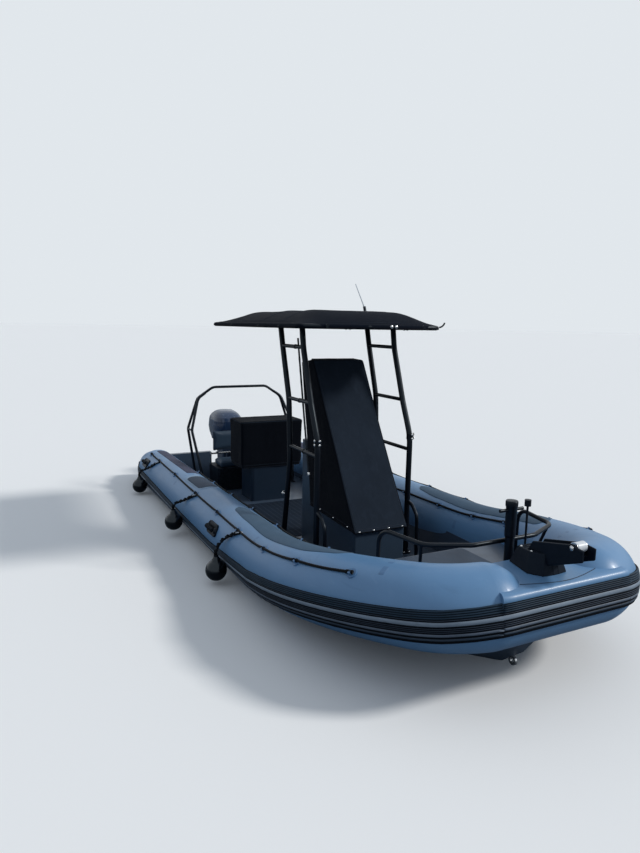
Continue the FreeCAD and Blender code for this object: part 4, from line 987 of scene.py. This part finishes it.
def console_skin():
    """One fitted cloth over console and windscreen, with folds that fall from the top corners."""
    def ring(aft, fore, inset, side_inset, lift=0.0):
        long = (fore - aft).length
        slope = (fore - aft) / long
        square = Vector((-slope.z, 0, slope.x))
        line = rounded_ring(inset, long - inset, COVER_HALF - 0.004 - side_inset, 0.020, 12, 5)
        return [aft + slope * x + INBOARD * y + square * lift for x, y in line]

    def crease(p, n):
        if abs(n.y) <= 0.7:
            return min(folds(p.y * 1.8, p.z * 0.8, 0.003), 0.004) - 0.001
        fall = (1.84 - p.z) / 1.4
        strain = math.sin(26 * (p.x * 0.85 + p.z * 0.45)) * math.exp(-((fall - 0.35) / 0.3) ** 2)
        return min(folds(p.x * 1.3 + p.z * 0.5, p.z * 0.8, 0.005) + 0.0025 * strain, 0.004) - 0.001
    rings = []
    for i in range(41):
        level = i / 40
        tight = 0.004 * math.sin(math.pi * level)
        rings.append(ring(HEM_AFT.lerp(TOP_AFT, level), HEM_FORE.lerp(TOP_FORE, level), tight, tight * 0.7))
    rings += [ring(TOP_AFT, TOP_FORE, inset, inset, rise) for inset, rise in shoulder(0.020)]
    close_top(rings, 8, 0.22, 0.004, 0.003)
    points, faces = ring_skin(rings)
    kept = []
    for face in faces:
        middle = sum((points[i] for i in face), Vector()) / 4
        if abs(middle.y) >= CONSOLE_HALF or not within(CONSOLE, middle.x, middle.z):
            kept.append(face)
    return soften(welded((points, kept)), crease)


def make_console_cover():
    skin = console_skin()
    cover = piece("console_canvas", skin, "cover_side_painted_shade")
    # Faces turned ahead take the lighter front cloth, painted light; the rest keep the darker side cloth,
    # painted shade.
    cover.data.materials.append(LOOKS["cover_front_painted_light"])
    for polygon in cover.data.polygons:
        if polygon.normal.x > 0.55:
            polygon.material_index = 1
    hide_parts("console_cover")
    tree = tree_of(skin)
    edging, thread = [], []
    for side in (-1, 1):
        beside = Vector((-0.003, side * (COVER_HALF - 0.006), 0))
        line = laid(tree, [HEM_FORE.lerp(TOP_FORE, t / 60) + beside for t in range(61)])
        edging.append(tube_mesh(line, 0.0040, 8))
        seam = laid(tree, [p + Vector((0, -side * 0.016, 0.002)) for p in line])
        thread.append(stitches(seam, Vector((0.0012, 0, 0.0008))))
    hem = [HEM_AFT.lerp(HEM_FORE, t / 24) + Vector((0, -COVER_HALF, 0.004)) for t in range(25)]
    hem += [HEM_FORE + Vector((0.002, -COVER_HALF + 2 * COVER_HALF * t / 15, 0.004)) for t in range(1, 15)]
    hem += [HEM_FORE.lerp(HEM_AFT, t / 24) + Vector((0, COVER_HALF, 0.004)) for t in range(25)]
    edging.append(tube_mesh(laid(tree, hem), 0.0046, 8))
    thread.append(stitches(laid(tree, [p + UP * 0.030 for p in hem]), Vector((0.001, 0, 0))))
    trim = piece("canvas_edging", joined(edging), "cover_side_painted_shade")
    seams = piece("canvas_stitching", joined(thread), "thread")
    snaps = [stud(tree.find_nearest(HEM_FORE + Vector((0.01, y, 0.018))), 0.0072)
             for y in (-0.215, -0.075, 0.075, 0.215)]
    for t in (0.25, 0.55, 0.85):
        for side in (-1, 1):
            spot = HEM_AFT.lerp(HEM_FORE, t) + Vector((0, side * (COVER_HALF + 0.01), 0.020))
            snaps.append(stud(tree.find_nearest(spot), 0.0066))
    studs = piece("canvas_snaps", joined(snaps), "stainless")


# Roof
ROOF_HALF = 0.700
ROOF_AFT = -1.390
ROOF_FORE = 0.990
ROOF_BOW = 1.080
ROOF_Z = 2.150
ROOF_TUBE_R = 0.019
ROOF_WRAP = 0.0215
ROOF_CROWN = 0.118
CROSS_TUBES = [-0.700, 0.055, 0.535]


def roof_bow(y):
    """How far the fore rim bows ahead of its corners."""
    return (ROOF_BOW - ROOF_FORE) * max(0.0, 1 - (y / 0.61) ** 2)


def roof_loop(inset, z):
    """Rim of the roof at a height, moved inwards by inset."""
    found = []
    for x, y in rounded_ring(ROOF_AFT + inset, ROOF_FORE - inset, ROOF_HALF - inset, 0.090, 22, 7):
        share = max(0.0, (x - (ROOF_FORE - inset - 0.35)) / 0.35)
        found.append(Vector((x + roof_bow(y) * share, y, z)))
    return found


def roof_rise(p):
    """Crown of the cloth above its rim, sagging a little between the cross tubes."""
    fx = min(max(0.0, p.x - ROOF_AFT - 0.02) / 0.86, 1.0)
    gx = min(max(0.0, ROOF_FORE - 0.02 + roof_bow(p.y) - p.x) / 0.36, 1.0)
    fy = min(max(0.0, ROOF_HALF - 0.02 - abs(p.y)) / 0.33, 1.0)
    lift = math.sin(fx * math.pi / 2) * math.sin(gx * math.pi / 2) * math.sin(fy * math.pi / 2)
    sag = 0.006 * min(1.0, min(abs(p.x - x) for x in CROSS_TUBES) / 0.2) * lift
    return ROOF_CROWN * lift ** 0.9 - sag + folds(p.x * 1.2, p.y * 1.8, 0.004) * lift


def make_canopy():
    """One crowned cloth, pulled over the rim and hemmed under it."""
    rings = []
    for degrees in (-110, -85, -60, -30, 0, 30, 60, 90):
        turn = math.radians(degrees)
        rings.append(roof_loop(ROOF_TUBE_R - ROOF_WRAP * math.cos(turn), ROOF_Z + ROOF_WRAP * math.sin(turn)))
    for i in range(1, 31):
        ring = [p.lerp(Vector((max(-0.72, min(0.42, p.x)), 0, p.z)), i / 30) for p in rings[7]]
        rings.append([p + UP * roof_rise(p) for p in ring])
    skin = welded(ring_skin(rings))
    cloth = piece("roof_cloth", skin, "roof_cloth")
    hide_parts("roof_canopy")
    tree = tree_of(skin)
    bands, thread = [], []
    for x in (-0.72, 0.05, 0.52):
        line = [down(tree, x, -0.66 + 1.32 * k / 60) for k in range(61)]
        verts = []
        for p in line:
            for dx, dz in ((-0.020, -0.0004), (-0.017, 0.0014), (0.017, 0.0014), (0.020, -0.0004)):
                verts.append(down(tree, p.x + dx, p.y) + UP * dz)
        bands.append((verts, grid_faces(len(line), 4)))
        for dx in (-0.013, 0.013):
            thread.append(stitches([down(tree, p.x + dx, p.y) for p in line], UP * 0.0022))
    edge = [down(tree, p.x, p.y) for p in roof_loop(0.045, 0)]
    thread.append(stitches(edge + edge[:1], UP * 0.0012))
    tapes = piece("roof_seams", joined(bands), "roof_cloth")
    bead = loop_mesh(laid(tree, roof_loop(-0.001, ROOF_Z - 0.012)), 0.0042)
    beading = piece("roof_bead", bead, "cover_side_painted_shade")
    sewing = piece("roof_stitching", joined(thread), "thread")


# Cushions
FOAM_SHRINK = 0.010        # how much smaller the foam starts than its cover
CLOTH_FRAMES = 20
CLOTH_SETTINGS = {"quality": 4, "mass": 0.25, "tension_stiffness": 12, "compression_stiffness": 12,
                  "shear_stiffness": 6, "bending_stiffness": 0.6, "use_pressure": True,
                  "uniform_pressure_force": 4.0}


def apply_all(made):
    """Make the modifiers' result the piece's own mesh."""
    mesh = bpy.data.meshes.new_from_object(made.evaluated_get(bpy.context.evaluated_depsgraph_get()))
    made.modifiers.clear()
    old = made.data
    made.data = mesh
    bpy.data.meshes.remove(old)


def foam_block(name, low, high, edge):
    """Finely meshed block with round edges."""
    mesh = bmesh.new()
    bmesh.ops.create_cube(mesh, size=1.0)
    for v in mesh.verts:
        v.co = Vector((low[i] + (v.co[i] + 0.5) * (high[i] - low[i]) for i in range(3)))
    bmesh.ops.bevel(mesh, geom=list(mesh.edges), offset=edge, segments=4, profile=0.6, affect="EDGES")
    data = bpy.data.meshes.new(name)
    mesh.to_mesh(data)
    mesh.free()
    made = placed(name, data)
    remesh = made.modifiers.new("remesh", "REMESH")
    remesh.mode = "VOXEL"
    remesh.voxel_size = 0.009
    apply_all(made)
    return made


def swelled(made):
    """Where the points come to under pressure, by cloth simulation."""
    cloth = made.modifiers.new("cloth", "CLOTH")
    for key, value in CLOTH_SETTINGS.items():
        setattr(cloth.settings, key, value)
    cloth.settings.effector_weights.gravity = 0.0
    cloth.point_cache.frame_start = 1
    cloth.point_cache.frame_end = CLOTH_FRAMES
    for number in range(1, CLOTH_FRAMES + 1):
        bpy.context.scene.frame_set(number)
    seen = made.evaluated_get(bpy.context.evaluated_depsgraph_get())
    moved = [v.co.copy() for v in seen.data.vertices]
    made.modifiers.clear()
    bpy.context.scene.frame_set(1)
    return moved


def pillow(name, low, high, edge, look, node, body="root", cap=0.024):
    """Foam pad that swells against its cover; the base of a lying pad stays flat."""
    low, high = Vector(low), Vector(high)
    middle, size = (low + high) / 2, (high - low) / 2
    thin = 0 if size.x < size.z else 2
    wide = [i for i in range(3) if i != thin]
    shrink = Vector((FOAM_SHRINK, FOAM_SHRINK, FOAM_SHRINK))
    made = foam_block(name, low + shrink, high - shrink, edge)
    rest = [v.co.copy() for v in made.data.vertices]
    moved = swelled(made)
    for vertex, start, end in zip(made.data.vertices, rest, moved):
        step = end - start
        if step.length > cap:
            step *= cap / step.length
        place = start + step
        for i in range(3):
            place[i] = max(low[i] + 0.0004, min(high[i] + 0.004, place[i]))
        share = [(place[i] - middle[i]) / size[i] for i in range(3)]
        crown = max(0.0, 1 - share[wide[0]] ** 4) * max(0.0, 1 - share[wide[1]] ** 4)
        if share[thin] > 0:
            place[thin] += 0.007 * crown - 0.003
        elif thin == 0:
            place[thin] -= 0.004 * crown - 0.003
        vertex.co = place
    smooth = made.modifiers.new("relax", "SMOOTH")
    smooth.factor = 0.5
    smooth.iterations = 4
    subdivided(made)
    apply_all(made)
    for polygon in made.data.polygons:
        polygon.use_smooth = True
    made.data.materials.clear()
    made.data.materials.append(LOOKS[look])
    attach(made, body)
    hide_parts(node)
    trim_pillow(made, name, look, body, middle, size, thin, wide)


def trim_pillow(made, name, look, body, middle, size, thin, wide):
    """Piping round the pad, and two sewn seams across it."""
    tree = BVHTree.FromObject(made, bpy.context.evaluated_depsgraph_get())
    parts, thread = [], []
    for level in ((0.62,) if thin == 2 else (0.55, -0.55)):
        guide = []
        for u, v in rounded_ring(-1, 1, 1, 0.10, 14, 6):
            place = Vector(middle)
            place[wide[0]] += u * (size[wide[0]] + 0.004)
            place[wide[1]] += v * (size[wide[1]] + 0.004)
            place[thin] += level * size[thin]
            guide.append(place)
        parts.append(loop_mesh(laid(tree, guide), 0.0040))
    run, reach, apart = (0, 0.93, 0.34) if thin == 2 else (2, 0.90, 0.36)
    for v in (-apart, apart):
        seam = []
        for k in range(33):
            place = Vector(middle)
            place[run] += (2 * k / 32 - 1) * reach * size[run]
            place.y += v * size.y
            place[thin] += size[thin] + 0.05
            seam.append(place)
        seam = laid(tree, seam)
        parts.append(tube_mesh(seam, 0.0024, 6))
        thread.append(stitches(laid(tree, [p + INBOARD * 0.010 for p in seam]), Vector((0.0006, 0, 0.0006))))
    piece(name + "_piping", joined(parts), look, body=body)
    piece(name + "_stitching", joined(thread), "thread", body)


def make_cushions():
    pillow("bench_pad", (-2.238, -0.458, 0.3503), (-1.935, 0.458, 0.4353), 0.022, "cushion_vinyl",
           "bench_cushion")
    pillow("back_pad", (-2.310, -0.450, 0.500), (-2.262, 0.450, 0.790), 0.018, "cushion_vinyl",
           "bench_backrest", "backrest", 0.014)


# Engine cowl: x of the middle, half length, half width and z of each ring
COWL = [(-3.100, 0.232, 0.170, 0.545), (-3.097, 0.248, 0.184, 0.570), (-3.095, 0.258, 0.195, 0.600),
        (-3.090, 0.268, 0.203, 0.645), (-3.085, 0.276, 0.208, 0.690), (-3.082, 0.275, 0.208, 0.745),
        (-3.080, 0.270, 0.205, 0.800), (-3.080, 0.253, 0.193, 0.848), (-3.080, 0.225, 0.172, 0.885),
        (-3.082, 0.185, 0.143, 0.912), (-3.085, 0.130, 0.105, 0.930)]
COWL_POWER = 0.62


def cowl_ring(cx, half_x, half_y, z, power):
    """Ring between an ellipse and a rectangle; a lower power is squarer."""
    ring = []
    for j in range(72):
        t = 2 * math.pi * j / 72
        c, s = math.cos(t), math.sin(t)
        ring.append(Vector((cx + math.copysign(abs(c) ** power, c) * half_x,
                            math.copysign(abs(s) ** power, s) * half_y, z)))
    return ring


def make_cowl():
    """Moulded cowl: a parting line low down, a shoulder crease, and slanted flutes on its crown."""
    rows = []
    for a, b in zip(COWL, COWL[1:]):
        rows += [tuple(p + (q - p) * i / 4 for p, q in zip(a, b)) for i in range(4)]
    rings = []
    for row in rows + COWL[-1:]:
        z = row[3]
        rings.append(cowl_ring(*row, COWL_POWER if z < 0.85 else COWL_POWER + 0.3 * (z - 0.85) / 0.08))
    top = rings[-1]
    for i in range(1, 7):
        share = i / 6
        rise = UP * (0.004 * math.sin(share * math.pi / 2))
        rings.append([p.lerp(Vector((-3.085 + (p.x + 3.085) * 0.15, 0, 0.932)), share) + rise for p in top])

    def mould(p, n):
        value = -0.004 if 0.582 < p.z < 0.596 else 0.0
        if p.z > 0.80:
            k = p.x * 20 + abs(p.y) * 13
            value += 0.0045 * max(0.0, math.sin(k)) ** 3 * min(1.0, (p.z - 0.80) / 0.05)
        if 0.66 < p.z < 0.76 and abs(p.y) > 0.12:
            value += 0.003 * math.sin((p.z - 0.66) / 0.10 * math.pi)
        return value
    shell = piece("cowl_shell", soften(welded(ring_skin(rings)), mould), "cowl_plastic", body="engine")
    subdivided(shell)
    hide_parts("outboard_cowl")
    seal = cowl_ring(-3.100, 0.2305, 0.1685, 0.5475, COWL_POWER)
    piece("cowl_seal", loop_mesh(seal, 0.0048), "black_plastic", body="engine")


# Fittings
def bolt(place, normal, radius, height):
    """Hexagon head on a washer."""
    sixth = math.pi / 3

    def hexagon(shrink):
        across = radius * math.cos(sixth / 2) * shrink
        return lambda t: across / math.cos((t + sixth / 2) % sixth - sixth / 2)
    rows = [(0.0, 1.5 * radius), (0.0014, 1.5 * radius), (0.0018, 1.42 * radius), (0.0018, hexagon(1.0)),
            (height * 0.8, hexagon(1.0)), (height, hexagon(0.84))]
    return turned(place, axes_of(normal), rows, 24)


def clamp_ring(centre, way, inner, wide, thick):
    """Two-bolt collar round a bar."""
    def radius(out):
        return lambda t: inner + thick * out * (1 + 0.22 * max(0.0, abs(math.cos(t)) - 0.86) / 0.14)
    rows = [(-0.5, 0.0), (-0.5, 0.7), (-0.4, 1.0), (0.4, 1.0), (0.5, 0.7), (0.5, 0.0)]
    return turned(centre, axes_of(way), [(share * wide, radius(out)) for share, out in rows], 28, False)


def round_about(x, y, reach, count, start):
    """Places on a circle."""
    turns = [2 * math.pi * k / count + start for k in range(count)]
    return [(x + reach * math.cos(t), y + reach * math.sin(t)) for t in turns]


def make_ttop_fittings():
    bright, dark = [], []
    for side in (-1, 1):
        y = side * 0.470
        for z in (1.150, 1.186):
            bright.append(bolt((0.884, y + side * 0.033, z), (0, side, 0), 0.0085, 0.007))
            bright.append(bolt((0.917, y, z), (1, 0, 0), 0.0075, 0.006))
        bright.append(clamp_ring((0.1995, y, 0.564), (0.16, 0, 1), 0.0258, 0.024, 0.006))
        bright.append(bolt((0.198, y + side * 0.0325, 0.564), (0, side, 0), 0.0075, 0.008))
        for x in (0.875, 0.150):
            foot = round_about(x, y, 0.040, 4, math.pi / 4)
            bright += [bolt((u, v, 0.070), UP, 0.006, 0.005) for u, v in foot]
        for x in (0.555, 0.070, -0.700):
            dark.append(bolt((x, side * 0.7025, ROOF_Z - 0.004), (0, side, 0), 0.0075, 0.006))
    rod_y = -0.442
    rod = [Vector((x, rod_y, z)) for x, z in ((0.653, 0.836), (0.606, 1.045), (0.505, 1.490), (0.400, 1.965),
                                              (0.385, 2.040))]
    dark.append(tube_mesh(smooth_line(rod, 12),
                          lambda s, a: 0.0085 + 0.0012 * (0.5 + 0.5 * math.cos(s * 60)) ** 8, 12))
    for x, _, z in rod[1:4]:
        dark.append(clamp_ring((x, rod_y, z), (-0.22, 0, 1), 0.0092, 0.020, 0.005))
        dark.append(clamp_ring((x, -0.470, z), AHEAD, 0.0172, 0.018, 0.004))
        bright.append(bolt((x, -0.430, z), (0, 1, 0), 0.006, 0.006))
    bright.append(clamp_ring((0.651, rod_y, 0.846), (-0.22, 0, 1), 0.0088, 0.030, 0.004))
    for y in (0.105, 0.150):
        bright.append(bolt((ROOF_BOW + 0.002, y, ROOF_Z + 0.004), AHEAD, 0.0095, 0.006))
    tip = [Vector(p) for p in ((0.975, 0.672, 2.156), (0.992, 0.700, 2.160), (1.000, 0.712, 2.198))]
    dark.append(tube_mesh(smooth_line(tip, 8), 0.0075, 8))
    for y in (-0.30, -0.265, 0.265, 0.30):
        bright.append(bolt((1.046 - 0.09 * (y / 0.61) ** 2, y, ROOF_Z - 0.0195), -UP, 0.008, 0.006))
    piece("ttop_bolts", joined(bright), "stainless")
    piece("ttop_rods", joined(dark), "black_metal")


def make_handle_lumps():
    """Moulded ribs, pad rims and end domes of the grab handles."""
    parts = []
    for x, angle in ((-2.630, 34), (0.380, 21)):
        for side in (1, -1):
            normal, along = skin_normal(x, angle, side), skin_way(x, angle, side)
            cross = normal.cross(along)
            base = on_tube(x, angle, 0, side)
            for step in range(-3, 4):
                ring = []
                for k in range(21):
                    t = math.pi * k / 20
                    ring.append(base + along * (0.026 * step) + cross * (math.cos(t) * 0.0165)
                                + normal * (0.029 + math.sin(t) * 0.019))
                parts.append(tube_mesh(ring, 0.0065, 8))
            rim = [base + along * u + cross * v + normal * 0.0085
                   for u, v in rounded_ring(-0.119, 0.119, 0.049, 0.040, 8, 8)]
            parts.append(loop_mesh(rim, 0.0050))
            for u in (-0.100, 0.100):
                parts.append(turned(base + along * u, (along * 0.021, cross * 0.030, normal),
                                    [(0.006, 1.0), (0.016, 0.92), (0.024, 0.7), (0.029, 0.3)], 20))
    piece("handle_grips", joined(parts), "black_plastic")


def make_seam_tapes():
    """Welded tapes round the chambers, and the raised line on the nose deck."""
    parts = []
    for side in (1, -1):
        for x, low, high, wide in ((CONE_X + 0.004, 46, 170, 0.022), (-1.20, 36, 168, 0.018),
                                   (1.20, 44, 168, 0.018), (2.62, 52, 150, 0.016)):
            parts.append(pad_skin([(x - wide, low, high), (x + wide, low, high)], side, 0.0011, 0.006, 4))
    piece("seam_tapes", joined(parts), "seam_tape")
    bow = ((3.130, -0.300), (3.172, -0.170), (3.200, 0.0), (3.172, 0.170), (3.130, 0.300))
    line = smooth_line([Vector((x, y, DECK_Z)) for x, y in bow], 16)
    piece("nose_seam", tube_mesh(line, 0.0030, 6), "pad_step")


def make_valves():
    """Inflation valves and a relief valve on each tube's inner side."""
    rings, caps = [], []
    for side in (1, -1):
        for x, radius in ((-0.62, 0.036), (-0.74, 0.024), (2.05, 0.036)):
            base = on_tube(x, 150, 0, side)
            axes = axes_of(skin_normal(x, 150, side))
            rows = [(-0.003, 1.25), (0.003, 1.22), (0.005, 1.0), (0.005, 0.80), (0.001, 0.78)]
            rings.append(turned(base, axes, [(out, radius * share) for out, share in rows], 28, False))
            rows = [(0.0, 0.74), (0.009, 0.74), (0.012, 0.66), (0.0125, 0.2)]
            rows = [(out, lambda t, r=radius * share: r * (1 + 0.05 * math.cos(8 * t)))
                    for out, share in rows]
            caps.append(turned(base, axes, rows, 28))
    piece("valve_rings", joined(rings), "black_plastic")
    piece("valve_caps", joined(caps), "band_rubber")


def make_aerial_sleeve():
    foot, tip = Vector((0.283, 0.300, 2.332)), Vector((0.100, 0.300, 2.560))
    line = [foot.lerp(tip, k / 30) for k in range(31)]
    sleeve = tube_mesh(line, lambda s, a: 0.0068 - 0.0018 * s / 0.29 + (0.0016 if s < 0.03 else 0.0), 12)
    piece("aerial_sleeve", sleeve, "white_plastic")
    rings = [clamp_ring((0.300, 0.300, z), UP, 0.0242, 0.012, 0.004) for z in (2.262, 2.284)]
    piece("aerial_nuts", joined(rings), "black_plastic")


def prism(bottom, top):
    """Solid between two outlines with as many points."""
    count = len(bottom)
    verts = [Vector(p) for p in bottom] + [Vector(p) for p in top]
    faces = [tuple(range(count))[::-1], tuple(range(count, 2 * count))]
    faces += [(i, (i + 1) % count, count + (i + 1) % count, count + i) for i in range(count)]
    return verts, faces


def make_bow_step():
    """Moulded step with sloping flanks, low at the ends of its arms, and chamfered cheeks ahead."""
    flank_foot = [(x, y, DECK_Z) for x, y in ((3.110, 0.020), (3.100, 0.095), (3.020, 0.145), (2.820, 0.095),
                                              (2.820, 0.020))]
    flank_top = [(3.080, 0.020, 0.858), (3.072, 0.060, 0.858), (2.985, 0.098, 0.852), (2.850, 0.062, 0.842),
                 (2.850, 0.020, 0.842)]
    cheek = [(2.930, 0.848), (3.090, 0.790), (3.332, 0.893), (3.332, 0.962), (3.240, 0.972), (2.960, 0.905)]
    ramp = [(3.060, 0.805), (3.100, 0.805), (3.290, 0.906), (3.250, 0.906)]
    parts = []
    for side in (1, -1):
        parts.append(prism([(x, side * y, z) for x, y, z in flank_foot],
                           [(x, side * y, z) for x, y, z in flank_top]))
        parts.append(prism([(x, side * 0.041, z) for x, z in cheek],
                           [(x + (3.13 - x) * 0.02, side * 0.057, z + (0.90 - z) * 0.04) for x, z in cheek]))
    corners = ((0, -1), (1, -1), (1, 1), (0, 1))
    parts.append(prism([((2.820, 3.110)[fore], side * 0.021, DECK_Z) for fore, side in corners],
                       [((2.850, 3.080)[fore], side * 0.021, (0.842, 0.858)[fore])
                        for fore, side in corners]))
    parts.append(prism([(x, -0.042, z) for x, z in ramp], [(x, 0.042, z) for x, z in ramp]))
    step = piece("bow_step_mould", joined(parts), "step_mould", smooth=False)
    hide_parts("bow_step")
    bevelled(step, 0.005, 3, 25)
    treads = []
    for k in range(4):
        line = [Vector((2.865 + 0.034 * k, 0.014 * i, 0.8445 + 0.0022 * k)) for i in range(-4, 5)]
        treads.append(tube_mesh(line, 0.0035, 12))
    piece("bow_step_treads", joined(treads), "step_mould")


def make_bow_details():
    """Worn sleeve on the mooring post, white sleeve on the roller, and bolts of the moulding and the rail."""
    rows = [(0.845, 0.0302), (0.850, 0.0345), (0.862, 0.0352), (1.040, 0.0352), (1.048, 0.0385),
            (1.056, 0.0395), (1.078, 0.0395), (1.0848, 0.0370), (1.0855, 0.0200)]
    piece("post_sleeve", turned((2.715, 0, 0), (AHEAD, INBOARD, UP), rows, 40), "black_metal")
    half = [(0.018, 0.0300), (0.034, 0.0315), (0.037, 0.0292)]
    rows = [(-out, radius) for out, radius in half[::-1]] + [(0.0, 0.0294)] + half
    roller = turned((3.255, 0, 0.955), (AHEAD, UP, INBOARD), rows, 36, False)
    piece("roller_sleeve", roller, "white_plastic")
    bolts = []
    for side in (-1, 1):
        for x, y, z in ((2.872, 0.052, 0.8440), (2.985, 0.078, 0.8525)):
            bolts.append(bolt((x, side * y, z), UP, 0.0065, 0.005))
        bolts.append(bolt((3.255, side * 0.0572, 0.955), (0, side, 0), 0.010, 0.007))
        for x, y in ((2.400, 0.470), (2.130, 0.620)):
            foot = round_about(x, side * y, 0.025, 3, 0.5)
            bolts += [bolt((u, v, 0.428), UP, 0.0045, 0.004) for u, v in foot]
    piece("bow_bolts", joined(bolts), "stainless")


def make_arch_details():
    """Tie plates between the arch tubes, with their bolts."""
    plates, bolts = [], []
    for side in (-1, 1):
        for z, y, x0, x1 in ((0.800, 0.710, -2.452, -2.278), (1.186, 0.582, -2.452, -2.434)):
            line = [Vector((x0 + (x1 - x0) * k / 8, side * y, z)) for k in range(9)]
            plates.append(tube_mesh(line, 0.0115, 12))
            bolts.append(bolt((x0 - 0.020, side * y, z), -AHEAD, 0.0075, 0.006))
    piece("arch_ties", joined(plates), "black_metal")
    piece("arch_bolts", joined(bolts), "stainless")


for make in (make_camera, make_world, make_sun, make_floor, make_fabric_looks, make_deck_look,
             make_rubber_looks, make_hard_looks, dress_nodes, make_pads, make_band_lines,
             make_lifelines, make_lanyards, make_leaning_cover, make_console_cover, make_canopy,
             make_cushions, make_cowl, make_ttop_fittings, make_handle_lumps, make_seam_tapes,
             make_valves, make_aerial_sleeve, make_bow_step, make_bow_details, make_arch_details):
    make()

bpy.context.scene.view_settings.view_transform = "Standard"
